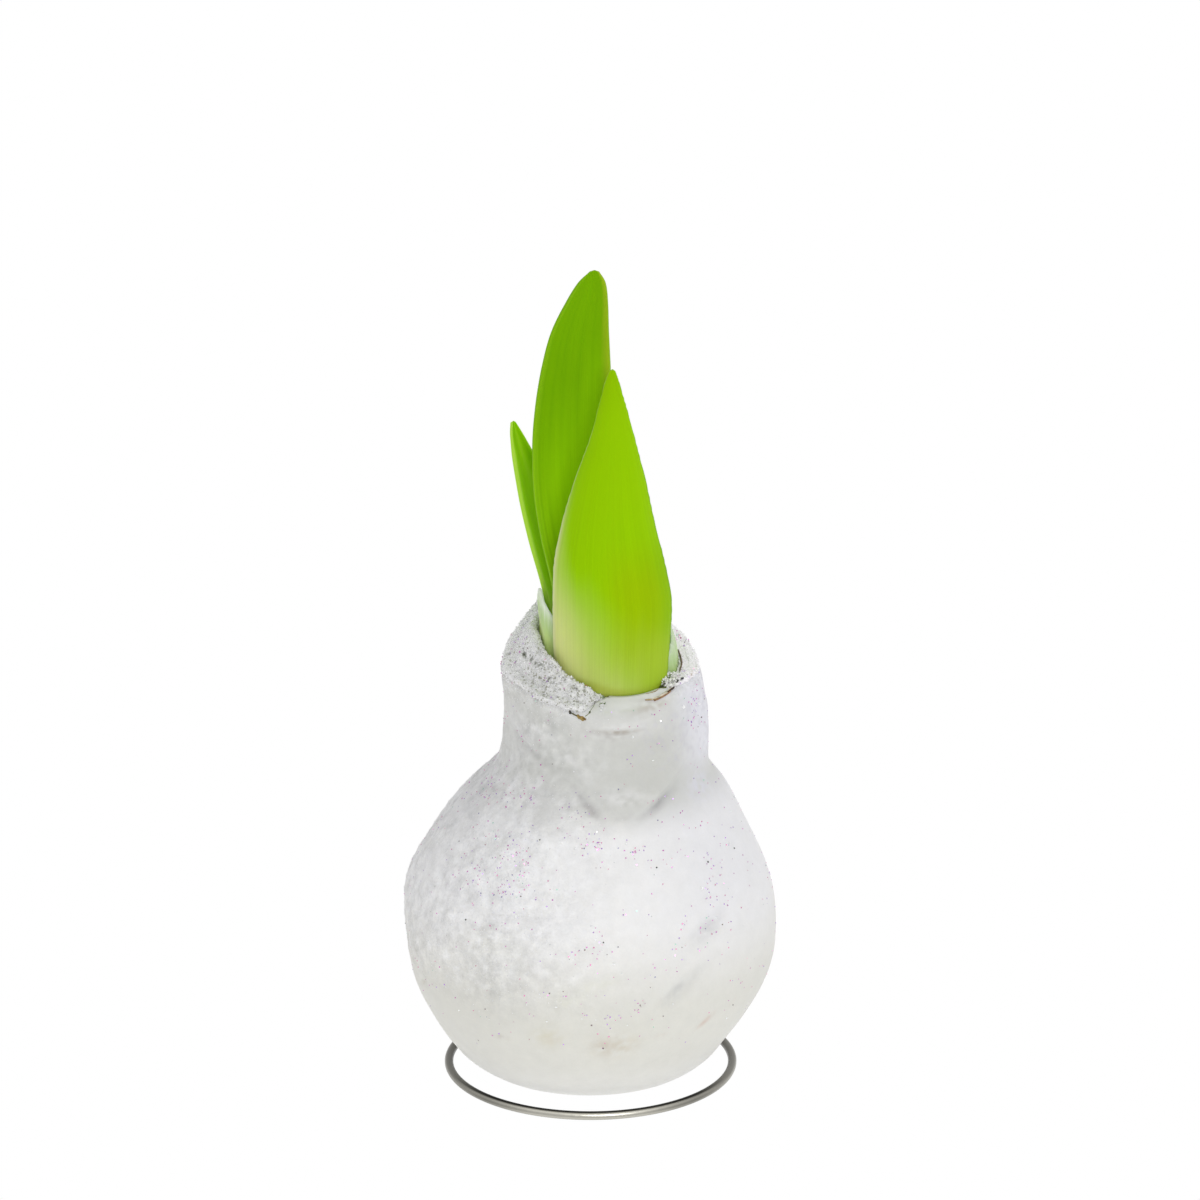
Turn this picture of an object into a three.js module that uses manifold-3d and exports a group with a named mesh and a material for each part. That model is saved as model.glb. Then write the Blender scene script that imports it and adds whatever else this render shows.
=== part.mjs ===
// A waxed amaryllis bulb: a flower bulb dipped in white wax, frosted with artificial snow round its cut neck,
// with leaves growing out of the cut. It stands on a wire ring whose inner end is screwed into its base.
// Millimetres, +Z up. The origin is on the table at the centre of the wire ring. The front faces -Y.
import * as THREE from "three";
import { mergeVertices } from "three/addons/utils/BufferGeometryUtils.js";
import Module from "manifold-3d";

const wasm = await Module();
wasm.setup();

// Driving dimensions.
const BELLY_RADIUS = 44.8; // the waxed bulb is a ball below its neck
const BELLY_HEIGHT = 40; // the ball's centre above the table
const BASE_HEIGHT = 2.8; // the flat underside, just above the wire
const BASE_ROUND = { inwards: 3.7, rise: 5 }; // how its edge is rounded
const NECK_RADIUS = 23.2; // at the cut
const NECK_TAPER = 0.06; // the neck widens by this much for each millimetre down
const NECK_BLEND = 5; // softens the hollow between ball and neck
const NECK_FOOT = 76; // height of that hollow
const NECK_TOP = 105.4; // height of the middle of the slanting cut
const CUT = { middle: 2.3, acrossSlope: -0.08, depthSlope: 0.333 }; // the cut falls to the front
const WAX = 1.5; // thickness of the wax
const RIM_ROUND = 1.8; // radius of the wax's rounded rim
const LIP = 2.4; // how far the wax laps in over the cut
const SCALE = { width: 2.1, ridge: 0.35 }; // one bulb scale's cut edge, and how far it stands up
const WELL = { x: 4.8, radius: 16.6, bay: 3, depth: 8 }; // the hollow in the cut that the leaves stand in
const WIRE_RADIUS = 1.05;
const RING_RADIUS = 34.8; // the stand's ring, at the middle of the wire
const COIL = { radius: 9, turns: 2, pitch: 10 }; // the screw end inside the bulb
const LEAF_EDGE = 0.6; // the thinnest that a leaf gets
const GAP = 0.3; // left between pieces that touch

// Fineness of the meshes.
const COLUMNS = 48; // round the bulb
const BODY_ROWS = 18;
const NECK_ROWS = 9;
const INNER_BODY_ROWS = 10; // where wax and bulb meet
const INNER_NECK_ROWS = 5;
const LEAF_ROWS = 24;
const LEAF_HALF_COLUMNS = 4;
const WIRE_SIDES = 8;
const WIRE_STEPS = 110;

const DEG = Math.PI / 180;
const { lerp, smoothstep } = THREE.MathUtils;

// A soft hump, 1 high at its middle.
function hump(distance, width) {
  return Math.exp(-((distance / width) ** 2));
}

// The turn from one direction to another, from -PI to PI.
function turn(from, to) {
  return Math.atan2(Math.sin(to - from), Math.cos(to - from));
}

// ---- closed meshes and solids

function middleOf(ring) {
  return ring.reduce((sum, point) => sum.add(point), new THREE.Vector3()).divideScalar(ring.length);
}

// A closed mesh over rings of points, each closed by itself, with one point to close each end. Seen from
// where the rings go, each runs anticlockwise.
function closedMesh(rings, firstPole = middleOf(rings[0]), lastPole = middleOf(rings.at(-1))) {
  const size = rings[0].length;
  const points = [firstPole, ...rings.flat(), lastPole];
  const last = points.length - 1;
  const at = (ring, i) => 1 + ring * size + (i % size);
  const faces = [];
  for (let i = 0; i < size; i++) {
    faces.push([0, at(0, i + 1), at(0, i)]);
    for (let ring = 0; ring + 1 < rings.length; ring++) {
      faces.push([at(ring, i), at(ring, i + 1), at(ring + 1, i)]);
      faces.push([at(ring, i + 1), at(ring + 1, i + 1), at(ring + 1, i)]);
    }
    faces.push([at(rings.length - 1, i), at(rings.length - 1, i + 1), last]);
  }
  const geometry = new THREE.BufferGeometry().setFromPoints(points);
  geometry.setIndex(faces.flat());
  return geometry;
}

function toSolid(geometry) {
  const bare = geometry.clone();
  bare.deleteAttribute("normal");
  bare.deleteAttribute("uv");
  const merged = mergeVertices(bare, 1e-4);
  return new wasm.Manifold(
    new wasm.Mesh({
      numProp: 3,
      vertProperties: merged.attributes.position.array,
      triVerts: new Uint32Array(merged.index.array),
    }),
  );
}

function toGeometry(solid) {
  const { vertProperties, triVerts } = solid.getMesh();
  const geometry = new THREE.BufferGeometry();
  geometry.setAttribute("position", new THREE.BufferAttribute(vertProperties, 3));
  geometry.setIndex(new THREE.BufferAttribute(triVerts, 1));
  geometry.computeVertexNormals();
  return geometry;
}

// ---- the form that the bulb, the wax and the frost share

// The neck stands a little to the right of the ball, its top leans back to the left, the foot swells left.
function axisShift(height) {
  return 3.6 * smoothstep(height, 60, 90) - 1.3 * smoothstep(height, 92, 107) - 0.8 * hump(height - 13, 12);
}

// A ball, a little flat at its shoulders, that runs into a nearly straight neck through a tight hollow.
function plainRadius(height) {
  const rise = height - BELLY_HEIGHT;
  const ball = Math.sqrt(Math.max(0, BELLY_RADIUS ** 2 - rise ** 2));
  const neck = NECK_RADIUS + NECK_TAPER * (NECK_TOP - height);
  const shoulder = 1.2 * hump(height - 64, 13);
  const foot = BASE_ROUND.inwards * Math.max(0, 1 - (height - BASE_HEIGHT) / BASE_ROUND.rise) ** 2;
  return (ball + neck + Math.hypot(ball - neck, NECK_BLEND)) / 2 - shoulder - foot;
}

// The plain form with its low swellings and folds.
function bulbRadius(angle, height) {
  const body = smoothstep(height, 6, 24) * (1 - smoothstep(height, 70, 80));
  const neck = smoothstep(height, 74, 84);
  const swell = 0.35 * Math.sin(3 * angle + 0.09 * height) + 0.25 * Math.sin(7 * angle - 0.17 * height + 1);
  const folds = Math.sin(9 * angle + 0.5 * Math.sin(height / 6) + 2.8) + Math.sin(4 * angle - height / 9);
  return plainRadius(height) + body * swell + 0.3 * neck * folds;
}

// The wax adds a soft lip round the neck's foot, lowest at the front.
function waxRadius(angle, height) {
  const fromFront = turn(-84 * DEG, angle);
  const lipHeight = NECK_FOOT - 1 + 10 * Math.min(1, (fromFront / 0.75) ** 2);
  return bulbRadius(angle, height) + 0.9 * hump(fromFront, 0.8) * hump(height - lipHeight, 3.2);
}

// The height of the slanting cut.
function cutPlane(x, y) {
  return NECK_TOP + CUT.acrossSlope * (x - CUT.middle) + CUT.depthSlope * y;
}

// The cut is uneven towards its edge: high at the back left, low at the left and the right.
const RIM_SPOTS = [
  { direction: 122 * DEG, width: 0.4, height: 1.6 },
  { direction: 158 * DEG, width: 0.35, height: -3.3 },
  { direction: 195 * DEG, width: 0.6, height: -1.2 },
  { direction: 27 * DEG, width: 0.5, height: -1.9 },
];

function cutHeight(x, y) {
  const dx = x - axisShift(NECK_TOP);
  const outwards = smoothstep(Math.hypot(dx, y), 14, NECK_RADIUS);
  const angle = Math.atan2(y, dx);
  const spots = RIM_SPOTS.map((spot) => spot.height * hump(turn(spot.direction, angle), spot.width));
  return cutPlane(x, y) + outwards * spots.reduce((sum, height) => sum + height, 0);
}

// A point at a radius from the middle, at a height given for a neck cut level.
function outsidePoint(angle, height, radius) {
  const x = axisShift(height) + radius * Math.cos(angle);
  const y = radius * Math.sin(angle);
  const slant = (cutHeight(x, y) - NECK_TOP) * smoothstep(height, NECK_FOOT + 4, NECK_TOP);
  return new THREE.Vector3(x, y, height + slant);
}

// A point at a radius from the neck's middle, under the surface of the cut.
function cutPoint(angle, radius, under) {
  const x = axisShift(NECK_TOP) + radius * Math.cos(angle);
  const y = radius * Math.sin(angle);
  return new THREE.Vector3(x, y, cutHeight(x, y) - under);
}

function rimRadius(angle) {
  return bulbRadius(angle, NECK_TOP);
}

// The distance from the neck's middle to the edge of the well, which is round but for a bay at its back left.
function wellEdge(angle) {
  const offset = WELL.x - axisShift(NECK_TOP);
  const circle = offset * Math.cos(angle) + Math.sqrt(WELL.radius ** 2 - (offset * Math.sin(angle)) ** 2);
  return circle + WELL.bay * hump(turn(140 * DEG, angle), 0.45);
}

function ringOf(pointAt) {
  return Array.from({ length: COLUMNS }, (_, i) => pointAt((i / COLUMNS) * 2 * Math.PI));
}

// Rings up a form taken in by inset, from the edge of the flat base to a height near the cut.
function formRings(bodyRows, neckRows, inset, top, radiusAt = bulbRadius) {
  const reach = BELLY_RADIUS - inset;
  const start = Math.acos((BELLY_HEIGHT - BASE_HEIGHT - inset) / reach);
  const end = Math.acos((BELLY_HEIGHT - NECK_FOOT) / reach);
  const rings = [];
  for (let row = 0; row <= bodyRows; row++) {
    const height = BELLY_HEIGHT - reach * Math.cos(lerp(start, end, row / bodyRows));
    rings.push(ringOf((angle) => outsidePoint(angle, height, radiusAt(angle, height) - inset)));
  }
  for (let row = 1; row <= neckRows; row++) {
    const height = lerp(NECK_FOOT, top, row / neckRows);
    rings.push(ringOf((angle) => outsidePoint(angle, height, radiusAt(angle, height) - inset)));
  }
  return rings;
}

// ---- wax

// Where the wax runs in to the front leaf, between these directions from the neck's middle.
const FRONT_LAP = { from: -92 * DEG, to: -34 * DEG };

// 1 where it does, 0 elsewhere.
function frontLap(angle) {
  const middle = (FRONT_LAP.from + FRONT_LAP.to) / 2;
  const half = (FRONT_LAP.to - FRONT_LAP.from) / 2;
  return 1 - smoothstep(Math.abs(turn(middle, angle)), half - 0.2, half + 0.2);
}

// The radius at which the wax ends on the cut.
function waxInnerRadius(angle) {
  const lip = Math.max(rimRadius(angle) - LIP, wellEdge(angle) + 0.9);
  return lerp(lip, wellEdge(angle) + 0.1, frontLap(angle));
}

function waxCoat() {
  const floor = new THREE.Vector3(0, 0, BASE_HEIGHT + WAX);
  const rings = formRings(BODY_ROWS, NECK_ROWS, 0, NECK_TOP - RIM_ROUND, waxRadius);
  for (const bend of [45, 90]) {
    const inwards = RIM_ROUND * (1 - Math.cos(bend * DEG));
    const under = RIM_ROUND * (1 - Math.sin(bend * DEG));
    rings.push(ringOf((angle) => cutPoint(angle, rimRadius(angle) - inwards, under)));
  }
  rings.push(ringOf((angle) => cutPoint(angle, waxInnerRadius(angle), 0.1 - 0.6 * frontLap(angle))));
  rings.push(ringOf((angle) => cutPoint(angle, waxInnerRadius(angle), WAX)));
  rings.push(...formRings(INNER_BODY_ROWS, INNER_NECK_ROWS, WAX, NECK_TOP - WAX).reverse());
  const solid = toSolid(closedMesh(rings, new THREE.Vector3(0, 0, BASE_HEIGHT), floor));
  return toGeometry(solid.subtract(wireTunnel()));
}

// ---- bulb

// The cut scales stand as low rings round the well.
function scaleRidge(radius, angle) {
  const wander = 0.5 * Math.sin(2 * angle + 1) + 0.3 * Math.sin(5 * angle);
  return SCALE.ridge * Math.sin(((radius + wander) / SCALE.width) * 2 * Math.PI);
}

function bulb() {
  const inset = WAX + GAP + 0.1;
  const rings = formRings(INNER_BODY_ROWS, INNER_NECK_ROWS, inset, NECK_TOP - inset);
  rings.push(ringOf((angle) => cutPoint(angle, waxInnerRadius(angle) - GAP, inset)));
  for (const share of [0.1, 0.4, 0.7, 1]) {
    rings.push(
      ringOf((angle) => {
        const edge = wellEdge(angle);
        const uncovered = waxInnerRadius(angle) - GAP - edge;
        const radius = edge + Math.max(uncovered, 0.05) * (1 - share);
        const bare = smoothstep(uncovered, 0.4, 1.6);
        return cutPoint(angle, radius, lerp(inset, 0.5 - scaleRidge(radius, angle), bare));
      }),
    );
  }
  rings.push(
    ringOf((angle) => {
      const { x, y } = cutPoint(angle, wellEdge(angle) - 0.02, 0);
      return new THREE.Vector3(x, y, cutPlane(x, y) - WELL.depth);
    }),
  );
  const base = new THREE.Vector3(0, 0, BASE_HEIGHT + inset);
  const floor = new THREE.Vector3(WELL.x, 0, cutPlane(WELL.x, 0) - WELL.depth);
  return toGeometry(toSolid(closedMesh(rings, base, floor)).subtract(wireTunnel()));
}

// ---- frost

const FROST = { from: -34 * DEG, to: 264 * DEG, steps: 46, clear: 0.5 };
const FROST_HEIGHT = { edge: 0.5, dome: 1.4, lumps: 0.8, towardsWell: 0.9 };

// Lumps in the crust, from 0 to 1.
function frostLumps(angle, across) {
  const wave = Math.sin(13 * angle + 2 * across) * Math.sin(7 * angle - 3 * across + 1);
  return 0.5 + 0.5 * Math.sin(29 * angle + 4 * across + 2 * wave) * Math.cos(5 * across + 17 * angle);
}

// A crust of artificial snow along the cut, open where the wax runs in to the front leaf.
function frostCrust() {
  const across = [0, 0.2, 0.4, 0.6, 0.8, 1];
  const rings = [];
  for (let step = 0; step <= FROST.steps; step++) {
    const share = step / FROST.steps;
    const angle = lerp(FROST.from, FROST.to, share);
    const ends = Math.min(1, 0.25 + Math.sqrt(14 * Math.min(share, 1 - share)));
    const inner = wellEdge(angle) + 0.4;
    const setBack = 1.2 - 0.9 * hump(turn(245 * DEG, angle), 0.6);
    const outer = lerp(inner + 1, rimRadius(angle) - setBack, ends);
    const underside = across.map((s) => cutPoint(angle, lerp(outer, inner, s), -FROST.clear));
    const top = across.map((s) => {
      const { edge, dome, lumps, towardsWell } = FROST_HEIGHT;
      const arch = Math.sqrt(1 - (2 * s - 1) ** 2);
      const body = arch * (dome + lumps * frostLumps(angle, s)) + towardsWell * (1 - s);
      return cutPoint(angle, lerp(inner, outer, s), -FROST.clear - edge - ends * body);
    });
    rings.push([...underside, ...top]);
  }
  return closedMesh(rings);
}

// ---- leaves

// Everything under the well's floor, parallel to the cut, which trims the foot of each leaf.
function belowTheFloor() {
  const size = 120;
  const upwards = new THREE.Vector3(-CUT.acrossSlope, -CUT.depthSlope, 1).normalize();
  const block = new THREE.BoxGeometry(size, size, size);
  block.translate(0, 0, -size / 2);
  block.applyQuaternion(new THREE.Quaternion().setFromUnitVectors(new THREE.Vector3(0, 0, 1), upwards));
  block.translate(WELL.x, 0, cutPlane(WELL.x, 0) - WELL.depth + GAP);
  return toSolid(block);
}

function smoothCurve(points) {
  return new THREE.CatmullRomCurve3(points, false, "catmullrom", 0.5);
}

// One place along a leaf: its height, the middle between its two margins, half its width, the half-angle of
// its channel in degrees, and the direction in degrees that its outer face looks in.
function station(height, x, y, half, curl, faces) {
  return { middle: new THREE.Vector3(x, y, height), form: new THREE.Vector3(half, curl, faces) };
}

// A strap leaf channelled along its length, thickest in the middle.
function leafBlade(stations, thickness, marginThickness) {
  const middles = smoothCurve(stations.map((s) => s.middle));
  const forms = smoothCurve(stations.map((s) => s.form));
  const columns = Array.from({ length: 2 * LEAF_HALF_COLUMNS + 1 }, (_, i) => i / LEAF_HALF_COLUMNS - 1);
  const rings = [];
  for (let row = 0; row <= LEAF_ROWS; row++) {
    const t = row / LEAF_ROWS;
    const middle = middles.getPoint(t);
    const { x: half, y: curl, z: faces } = forms.getPoint(t);
    const bend = curl * DEG;
    const radius = half / Math.sin(bend);
    const outwards = new THREE.Vector3(Math.cos(faces * DEG), Math.sin(faces * DEG), 0);
    const across = new THREE.Vector3(-outwards.y, outwards.x, 0);
    const towardsTip = lerp(1, 0.55, t) * Math.min(1, 0.25 + half / 4);
    const pointAt = (column, side) => {
      const u = Math.sin((column * Math.PI) / 2);
      const blade = towardsTip * lerp(marginThickness, thickness, Math.sqrt(1 - u ** 4));
      const here = Math.max(LEAF_EDGE, blade);
      const reach = radius + (side * here) / 2;
      return middle
        .clone()
        .addScaledVector(outwards, reach * Math.cos(u * bend) - radius * Math.cos(bend))
        .addScaledVector(across, reach * Math.sin(u * bend));
    };
    rings.push([...columns.map((c) => pointAt(c, 1)), ...columns.toReversed().map((c) => pointAt(c, -1))]);
  }
  const tip = middleOf(rings.at(-1)).add(new THREE.Vector3(0, 0, 0.4));
  const whole = toSolid(closedMesh(rings, middleOf(rings[0]), tip));
  return toGeometry(whole.subtract(belowTheFloor()));
}

// The front leaf shows its outer face: a half tube at its foot, narrowing like a spearhead to its tip.
function leafFront() {
  const stations = [
    station(84, 4.8, -7.6, 12.6, 60, -90),
    station(98, 4.9, -7.4, 12.8, 60, -90),
    station(110, 5.0, -7.4, 13.3, 60, -90),
    station(121, 5.2, -7.6, 13.6, 60, -90),
    station(131, 4.5, -7.8, 12.5, 58, -90),
    station(141, 4.3, -7.4, 10.3, 55, -90),
    station(151, 4.7, -6.6, 7.7, 52, -90),
    station(160, 5.2, -5.6, 4.9, 50, -90),
    station(168, 5.2, -4.7, 2.8, 46, -90),
    station(173, 5.1, -4.1, 1.5, 40, -90),
    station(175.6, 5.2, -3.7, 0.5, 30, -90),
  ];
  return leafBlade(stations, 2.5, 1.1);
}

// The tall leaf shows its inner face: a shallow channel, widest above its middle, with a round tip.
function leafTall() {
  const stations = [
    station(84, 5.0, -4.2, 9.6, 48, 90),
    station(100, 3.6, -3.6, 9.4, 42, 90),
    station(113, 1.4, -2.4, 8.9, 33, 90),
    station(124, -0.5, -1.0, 8.8, 27, 90),
    station(134, -2.3, 0.4, 9.4, 24, 90),
    station(145, -3.6, 1.8, 9.7, 25, 90),
    station(156, -4.1, 2.8, 9.4, 26, 90),
    station(166, -3.9, 3.4, 8.8, 27, 90),
    station(175, -3.3, 3.6, 7.9, 28, 90),
    station(183, -2.4, 3.4, 6.7, 29, 90),
    station(190, -0.8, 3.0, 4.9, 30, 90),
    station(195, 0.4, 2.6, 3.1, 28, 90),
    station(197.8, 1.0, 2.4, 1.0, 20, 90),
  ];
  return leafBlade(stations, 2.3, 1.0);
}

// The small leaf at the back left clasps the others at its foot. Above, it is a deep channel that leans out
// to the left, with its inner face to the front.
function leafSmall() {
  const stations = [
    station(84, 5.0, 3.0, 12.0, 62, 90),
    station(100, 4.2, 3.2, 11.6, 60, 95),
    station(113, -0.4, 4.8, 9.7, 55, 112),
    station(122, -4.9, 7.3, 7.9, 50, 124),
    station(131, -8.4, 9.0, 7.1, 47, 128),
    station(139, -11.2, 9.4, 6.0, 45, 128),
    station(146, -13.6, 9.4, 4.6, 43, 128),
    station(152, -15.8, 9.2, 3.0, 40, 128),
    station(157, -17.4, 9.0, 1.7, 35, 128),
    station(160, -18.2, 8.9, 0.6, 30, 128),
  ];
  return leafBlade(stations, 2.0, 0.9);
}

// ---- sheath

const SHEATH = { from: 224 * DEG, to: -38 * DEG, steps: 40, wall: 1, edge: 0.8 };
const SHEATH_TOP = { right: 5.6, left: 15.8, direction: 188 * DEG, width: 0.5, rightEnd: 2.2 };
const SHEATH_TUCK = { left: 4.2, leftFrom: 196 * DEG, right: 4, rightFrom: -12 * DEG };
const SHEATH_LEAN = { right: 1.1, width: 0.7 };
const SHEATH_FLARE = { left: 0.9, direction: 188 * DEG, width: 0.6, from: 4, to: 11 };

// How far its top stands above the cut: highest at the left.
function sheathTop(angle) {
  const { right, left, direction, width, rightEnd } = SHEATH_TOP;
  const atRightEnd = 1 - smoothstep(angle, SHEATH.to, 0);
  return lerp(right, left, hump(turn(direction, angle), width)) - rightEnd * atRightEnd;
}

// How far its two margins are drawn in behind the margins of the front leaf.
function sheathTuck(angle) {
  const { left, leftFrom, right, rightFrom } = SHEATH_TUCK;
  const atLeft = smoothstep(angle, leftFrom, SHEATH.from);
  const atRight = 1 - smoothstep(angle, SHEATH.to, rightFrom);
  return left * atLeft + right * atRight;
}

// How far it leans in at the right, less how far it flares out at the left.
function sheathLean(angle, above, top) {
  const { left, direction, width, from, to } = SHEATH_FLARE;
  const lean = SHEATH_LEAN.right * hump(angle, SHEATH_LEAN.width) * (Math.max(0, above) / top) ** 2;
  return lean - left * hump(turn(direction, angle), width) * smoothstep(above, from, to);
}

// The pale inner scale that wraps the leaves from behind, cut off above the neck.
function innerSheath() {
  const rings = [];
  for (let step = 0; step <= SHEATH.steps; step++) {
    const share = step / SHEATH.steps;
    const angle = lerp(SHEATH.from, SHEATH.to, share);
    const wall = SHEATH.wall * Math.min(1, 0.5 + 6 * Math.min(share, 1 - share));
    const outer = wellEdge(angle) - GAP - 0.1 - sheathTuck(angle);
    const top = sheathTop(angle);
    const at = (inwards, above) => {
      const { x, y } = cutPoint(angle, outer - inwards - sheathLean(angle, above, top), 0);
      return new THREE.Vector3(x, y, cutPlane(x, y) + above);
    };
    const levels = [GAP - WELL.depth, 0, top / 2, top - SHEATH.edge];
    rings.push([
      ...levels.map((level) => at(0, level)),
      at(0.3 * wall, top),
      at(0.7 * wall, top),
      ...levels.toReversed().map((level) => at(wall, level)),
    ]);
  }
  return closedMesh(rings);
}

// ---- wire stand

// The wire's middle line: the ring on the table, an arm in under the base, and a coil up into the bulb.
function wirePath(pastTheEnd = 0) {
  const armHeight = WIRE_RADIUS + 0.2;
  const points = [];
  const push = (degrees, radius, height) => {
    const angle = degrees * DEG;
    points.push(new THREE.Vector3(radius * Math.cos(angle), radius * Math.sin(angle), height));
  };
  for (let degrees = 98; degrees <= 430; degrees += 8) push(degrees, RING_RADIUS, WIRE_RADIUS);
  push(437, RING_RADIUS - 0.8, WIRE_RADIUS);
  push(442, RING_RADIUS - 3.6, WIRE_RADIUS);
  push(444, RING_RADIUS - 9, WIRE_RADIUS + 0.1);
  push(445, RING_RADIUS - 16, armHeight);
  push(449, RING_RADIUS - 22, armHeight);
  push(464, COIL.radius + 1.6, armHeight);
  const coilStart = 490;
  for (let degrees = 0; degrees <= 360 * COIL.turns + pastTheEnd; degrees += 20) {
    const wound = degrees / 360;
    push(coilStart + degrees, COIL.radius, armHeight + COIL.pitch * wound * smoothstep(wound, -0.1, 0.25));
  }
  return new THREE.CatmullRomCurve3(points, false, "centripetal");
}

// A tube of flat sides along a path, one of them facing down.
function tubeAlong(path, radius) {
  const corner = radius / Math.cos(Math.PI / WIRE_SIDES);
  const corners = Array.from({ length: WIRE_SIDES }, (_, i) => {
    const angle = ((i + 0.5) / WIRE_SIDES) * 2 * Math.PI;
    return new THREE.Vector2(corner * Math.cos(angle), corner * Math.sin(angle));
  });
  return new THREE.ExtrudeGeometry(new THREE.Shape(corners), { steps: WIRE_STEPS, extrudePath: path });
}

function wireStand() {
  return tubeAlong(wirePath(), WIRE_RADIUS);
}

// The room that the wire takes in the wax and in the bulb.
function wireTunnel() {
  return toSolid(tubeAlong(wirePath(20), WIRE_RADIUS + GAP + 0.1));
}

// ---- the part

const part = new THREE.Group();

function addPiece(name, geometry, color, roughness, metalness = 0) {
  const piece = new THREE.Mesh(geometry, new THREE.MeshStandardMaterial({ color, roughness, metalness }));
  piece.name = name;
  part.add(piece);
}

addPiece("wire_stand", wireStand(), 0x9a968c, 0.3, 1);
addPiece("bulb", bulb(), 0xb9b58c, 0.8);
addPiece("wax_coat", waxCoat(), 0xe9e9e6, 0.45);
addPiece("frost_crust", frostCrust(), 0xe4e4e8, 0.95);
addPiece("inner_sheath", innerSheath(), 0xc4d8b4, 0.5);
addPiece("leaf_front", leafFront(), 0x93c800, 0.4);
addPiece("leaf_tall", leafTall(), 0x74ab00, 0.4);
addPiece("leaf_small", leafSmall(), 0x74ab00, 0.4);

export default part;
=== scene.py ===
"""A waxed amaryllis bulb with young leaves on a wire ring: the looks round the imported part.

The forms repeat the part's own, more finely, in millimetres: +Z up, front towards -Y.
"""

import math
from itertools import product

import bpy
import numpy as np
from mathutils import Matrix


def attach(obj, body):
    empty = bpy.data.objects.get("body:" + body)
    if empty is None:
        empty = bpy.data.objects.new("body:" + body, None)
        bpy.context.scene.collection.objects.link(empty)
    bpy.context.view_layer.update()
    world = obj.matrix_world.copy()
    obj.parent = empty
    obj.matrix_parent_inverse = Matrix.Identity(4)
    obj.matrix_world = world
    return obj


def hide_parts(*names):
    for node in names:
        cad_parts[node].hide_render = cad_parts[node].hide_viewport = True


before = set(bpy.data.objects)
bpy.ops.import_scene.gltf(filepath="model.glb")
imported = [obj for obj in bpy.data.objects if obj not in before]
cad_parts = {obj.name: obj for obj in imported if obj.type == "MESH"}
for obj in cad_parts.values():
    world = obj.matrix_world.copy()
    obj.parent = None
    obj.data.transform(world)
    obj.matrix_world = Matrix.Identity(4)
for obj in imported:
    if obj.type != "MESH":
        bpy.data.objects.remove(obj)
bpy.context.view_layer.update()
MM = 0.001

# ---- the form that the pieces share

# Sizes, as in the part's source.
BELLY_RADIUS = 44.8
BELLY_HEIGHT = 40
BASE_HEIGHT = 2.8
BASE_ROUND_INWARDS = 3.7
BASE_ROUND_RISE = 5
NECK_RADIUS = 23.2
NECK_TAPER = 0.06
NECK_BLEND = 5
NECK_FOOT = 76
NECK_TOP = 105.4
CUT_MIDDLE = 2.3
CUT_ACROSS_SLOPE = -0.08
CUT_DEPTH_SLOPE = 0.333
WAX = 1.5
RIM_ROUND = 1.8
RIM_BEND = RIM_ROUND * math.pi / 2
LIP = 2.4
WELL_X = 4.8
WELL_RADIUS = 16.6
WELL_BAY = 3
WELL_DEPTH = 8
LEAF_EDGE = 0.6
GAP = 0.3
WIRE_RADIUS = 1.05
RING_RADIUS = 34.8
COIL_RADIUS = 9
COIL_TURNS = 2
COIL_PITCH = 10

# Where the wax runs in to the front leaf, in degrees, and how softly that starts, in radians.
FRONT_LAP_MIDDLE = -63
FRONT_LAP_HALF = 29
FRONT_LAP_BLUR = 0.2


def lerp(a, b, share):
    return a + (b - a) * share


def hump(distance, width):
    """A soft hump, 1 high at its middle."""
    return np.exp(-((distance / width) ** 2))


def turn(start, end):
    """The turn from one direction to another, from -pi to pi."""
    return np.arctan2(np.sin(end - start), np.cos(end - start))


def smoothstep(x, low, high):
    share = np.clip((x - low) / (high - low), 0, 1)
    return share * share * (3 - 2 * share)


def falling(x, low, high):
    """1 below low and 0 above high."""
    return 1 - smoothstep(x, low, high)


def towards(angle, degrees, width):
    """A soft hump round one direction. Its width is in radians."""
    return hump(turn(np.radians(degrees), angle), width)


def near(angle, degrees, low, high):
    """1 within low radians of a direction, 0 from high on."""
    return falling(np.abs(turn(np.radians(degrees), angle)), low, high)


def axis_shift(height):
    """The neck stands right of the ball, its top leans back left, and the ball's foot swells left."""
    neck = 3.6 * smoothstep(height, 60, 90) - 1.3 * smoothstep(height, 92, 107)
    return neck - 0.8 * hump(height - 13, 12)


NECK_X = float(axis_shift(NECK_TOP))


def plain_radius(height):
    """A ball, a little flat at its shoulders, that runs into a nearly straight neck."""
    ball = np.sqrt(np.maximum(0, BELLY_RADIUS**2 - (height - BELLY_HEIGHT) ** 2))
    neck = NECK_RADIUS + NECK_TAPER * (NECK_TOP - height)
    shoulder = 1.2 * hump(height - 64, 13)
    foot = BASE_ROUND_INWARDS * np.maximum(0, 1 - (height - BASE_HEIGHT) / BASE_ROUND_RISE) ** 2
    return (ball + neck + np.hypot(ball - neck, NECK_BLEND)) / 2 - shoulder - foot


def bulb_radius(angle, height):
    """The plain form with its low swellings and folds."""
    body = smoothstep(height, 6, 24) * falling(height, 70, 80)
    neck = smoothstep(height, 74, 84)
    swell = 0.35 * np.sin(3 * angle + 0.09 * height)
    swell = swell + 0.25 * np.sin(7 * angle - 0.17 * height + 1)
    folds = np.sin(9 * angle + 0.5 * np.sin(height / 6) + 2.8) + np.sin(4 * angle - height / 9)
    return plain_radius(height) + body * swell + 0.3 * neck * folds


def wax_radius(angle, height):
    """The wax adds a soft lip round the neck's foot, lowest at the front."""
    front = turn(np.radians(-84), angle)
    lip_height = NECK_FOOT - 1 + 10 * np.minimum(1, (front / 0.75) ** 2)
    return bulb_radius(angle, height) + 0.9 * hump(front, 0.8) * hump(height - lip_height, 3.2)


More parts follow.
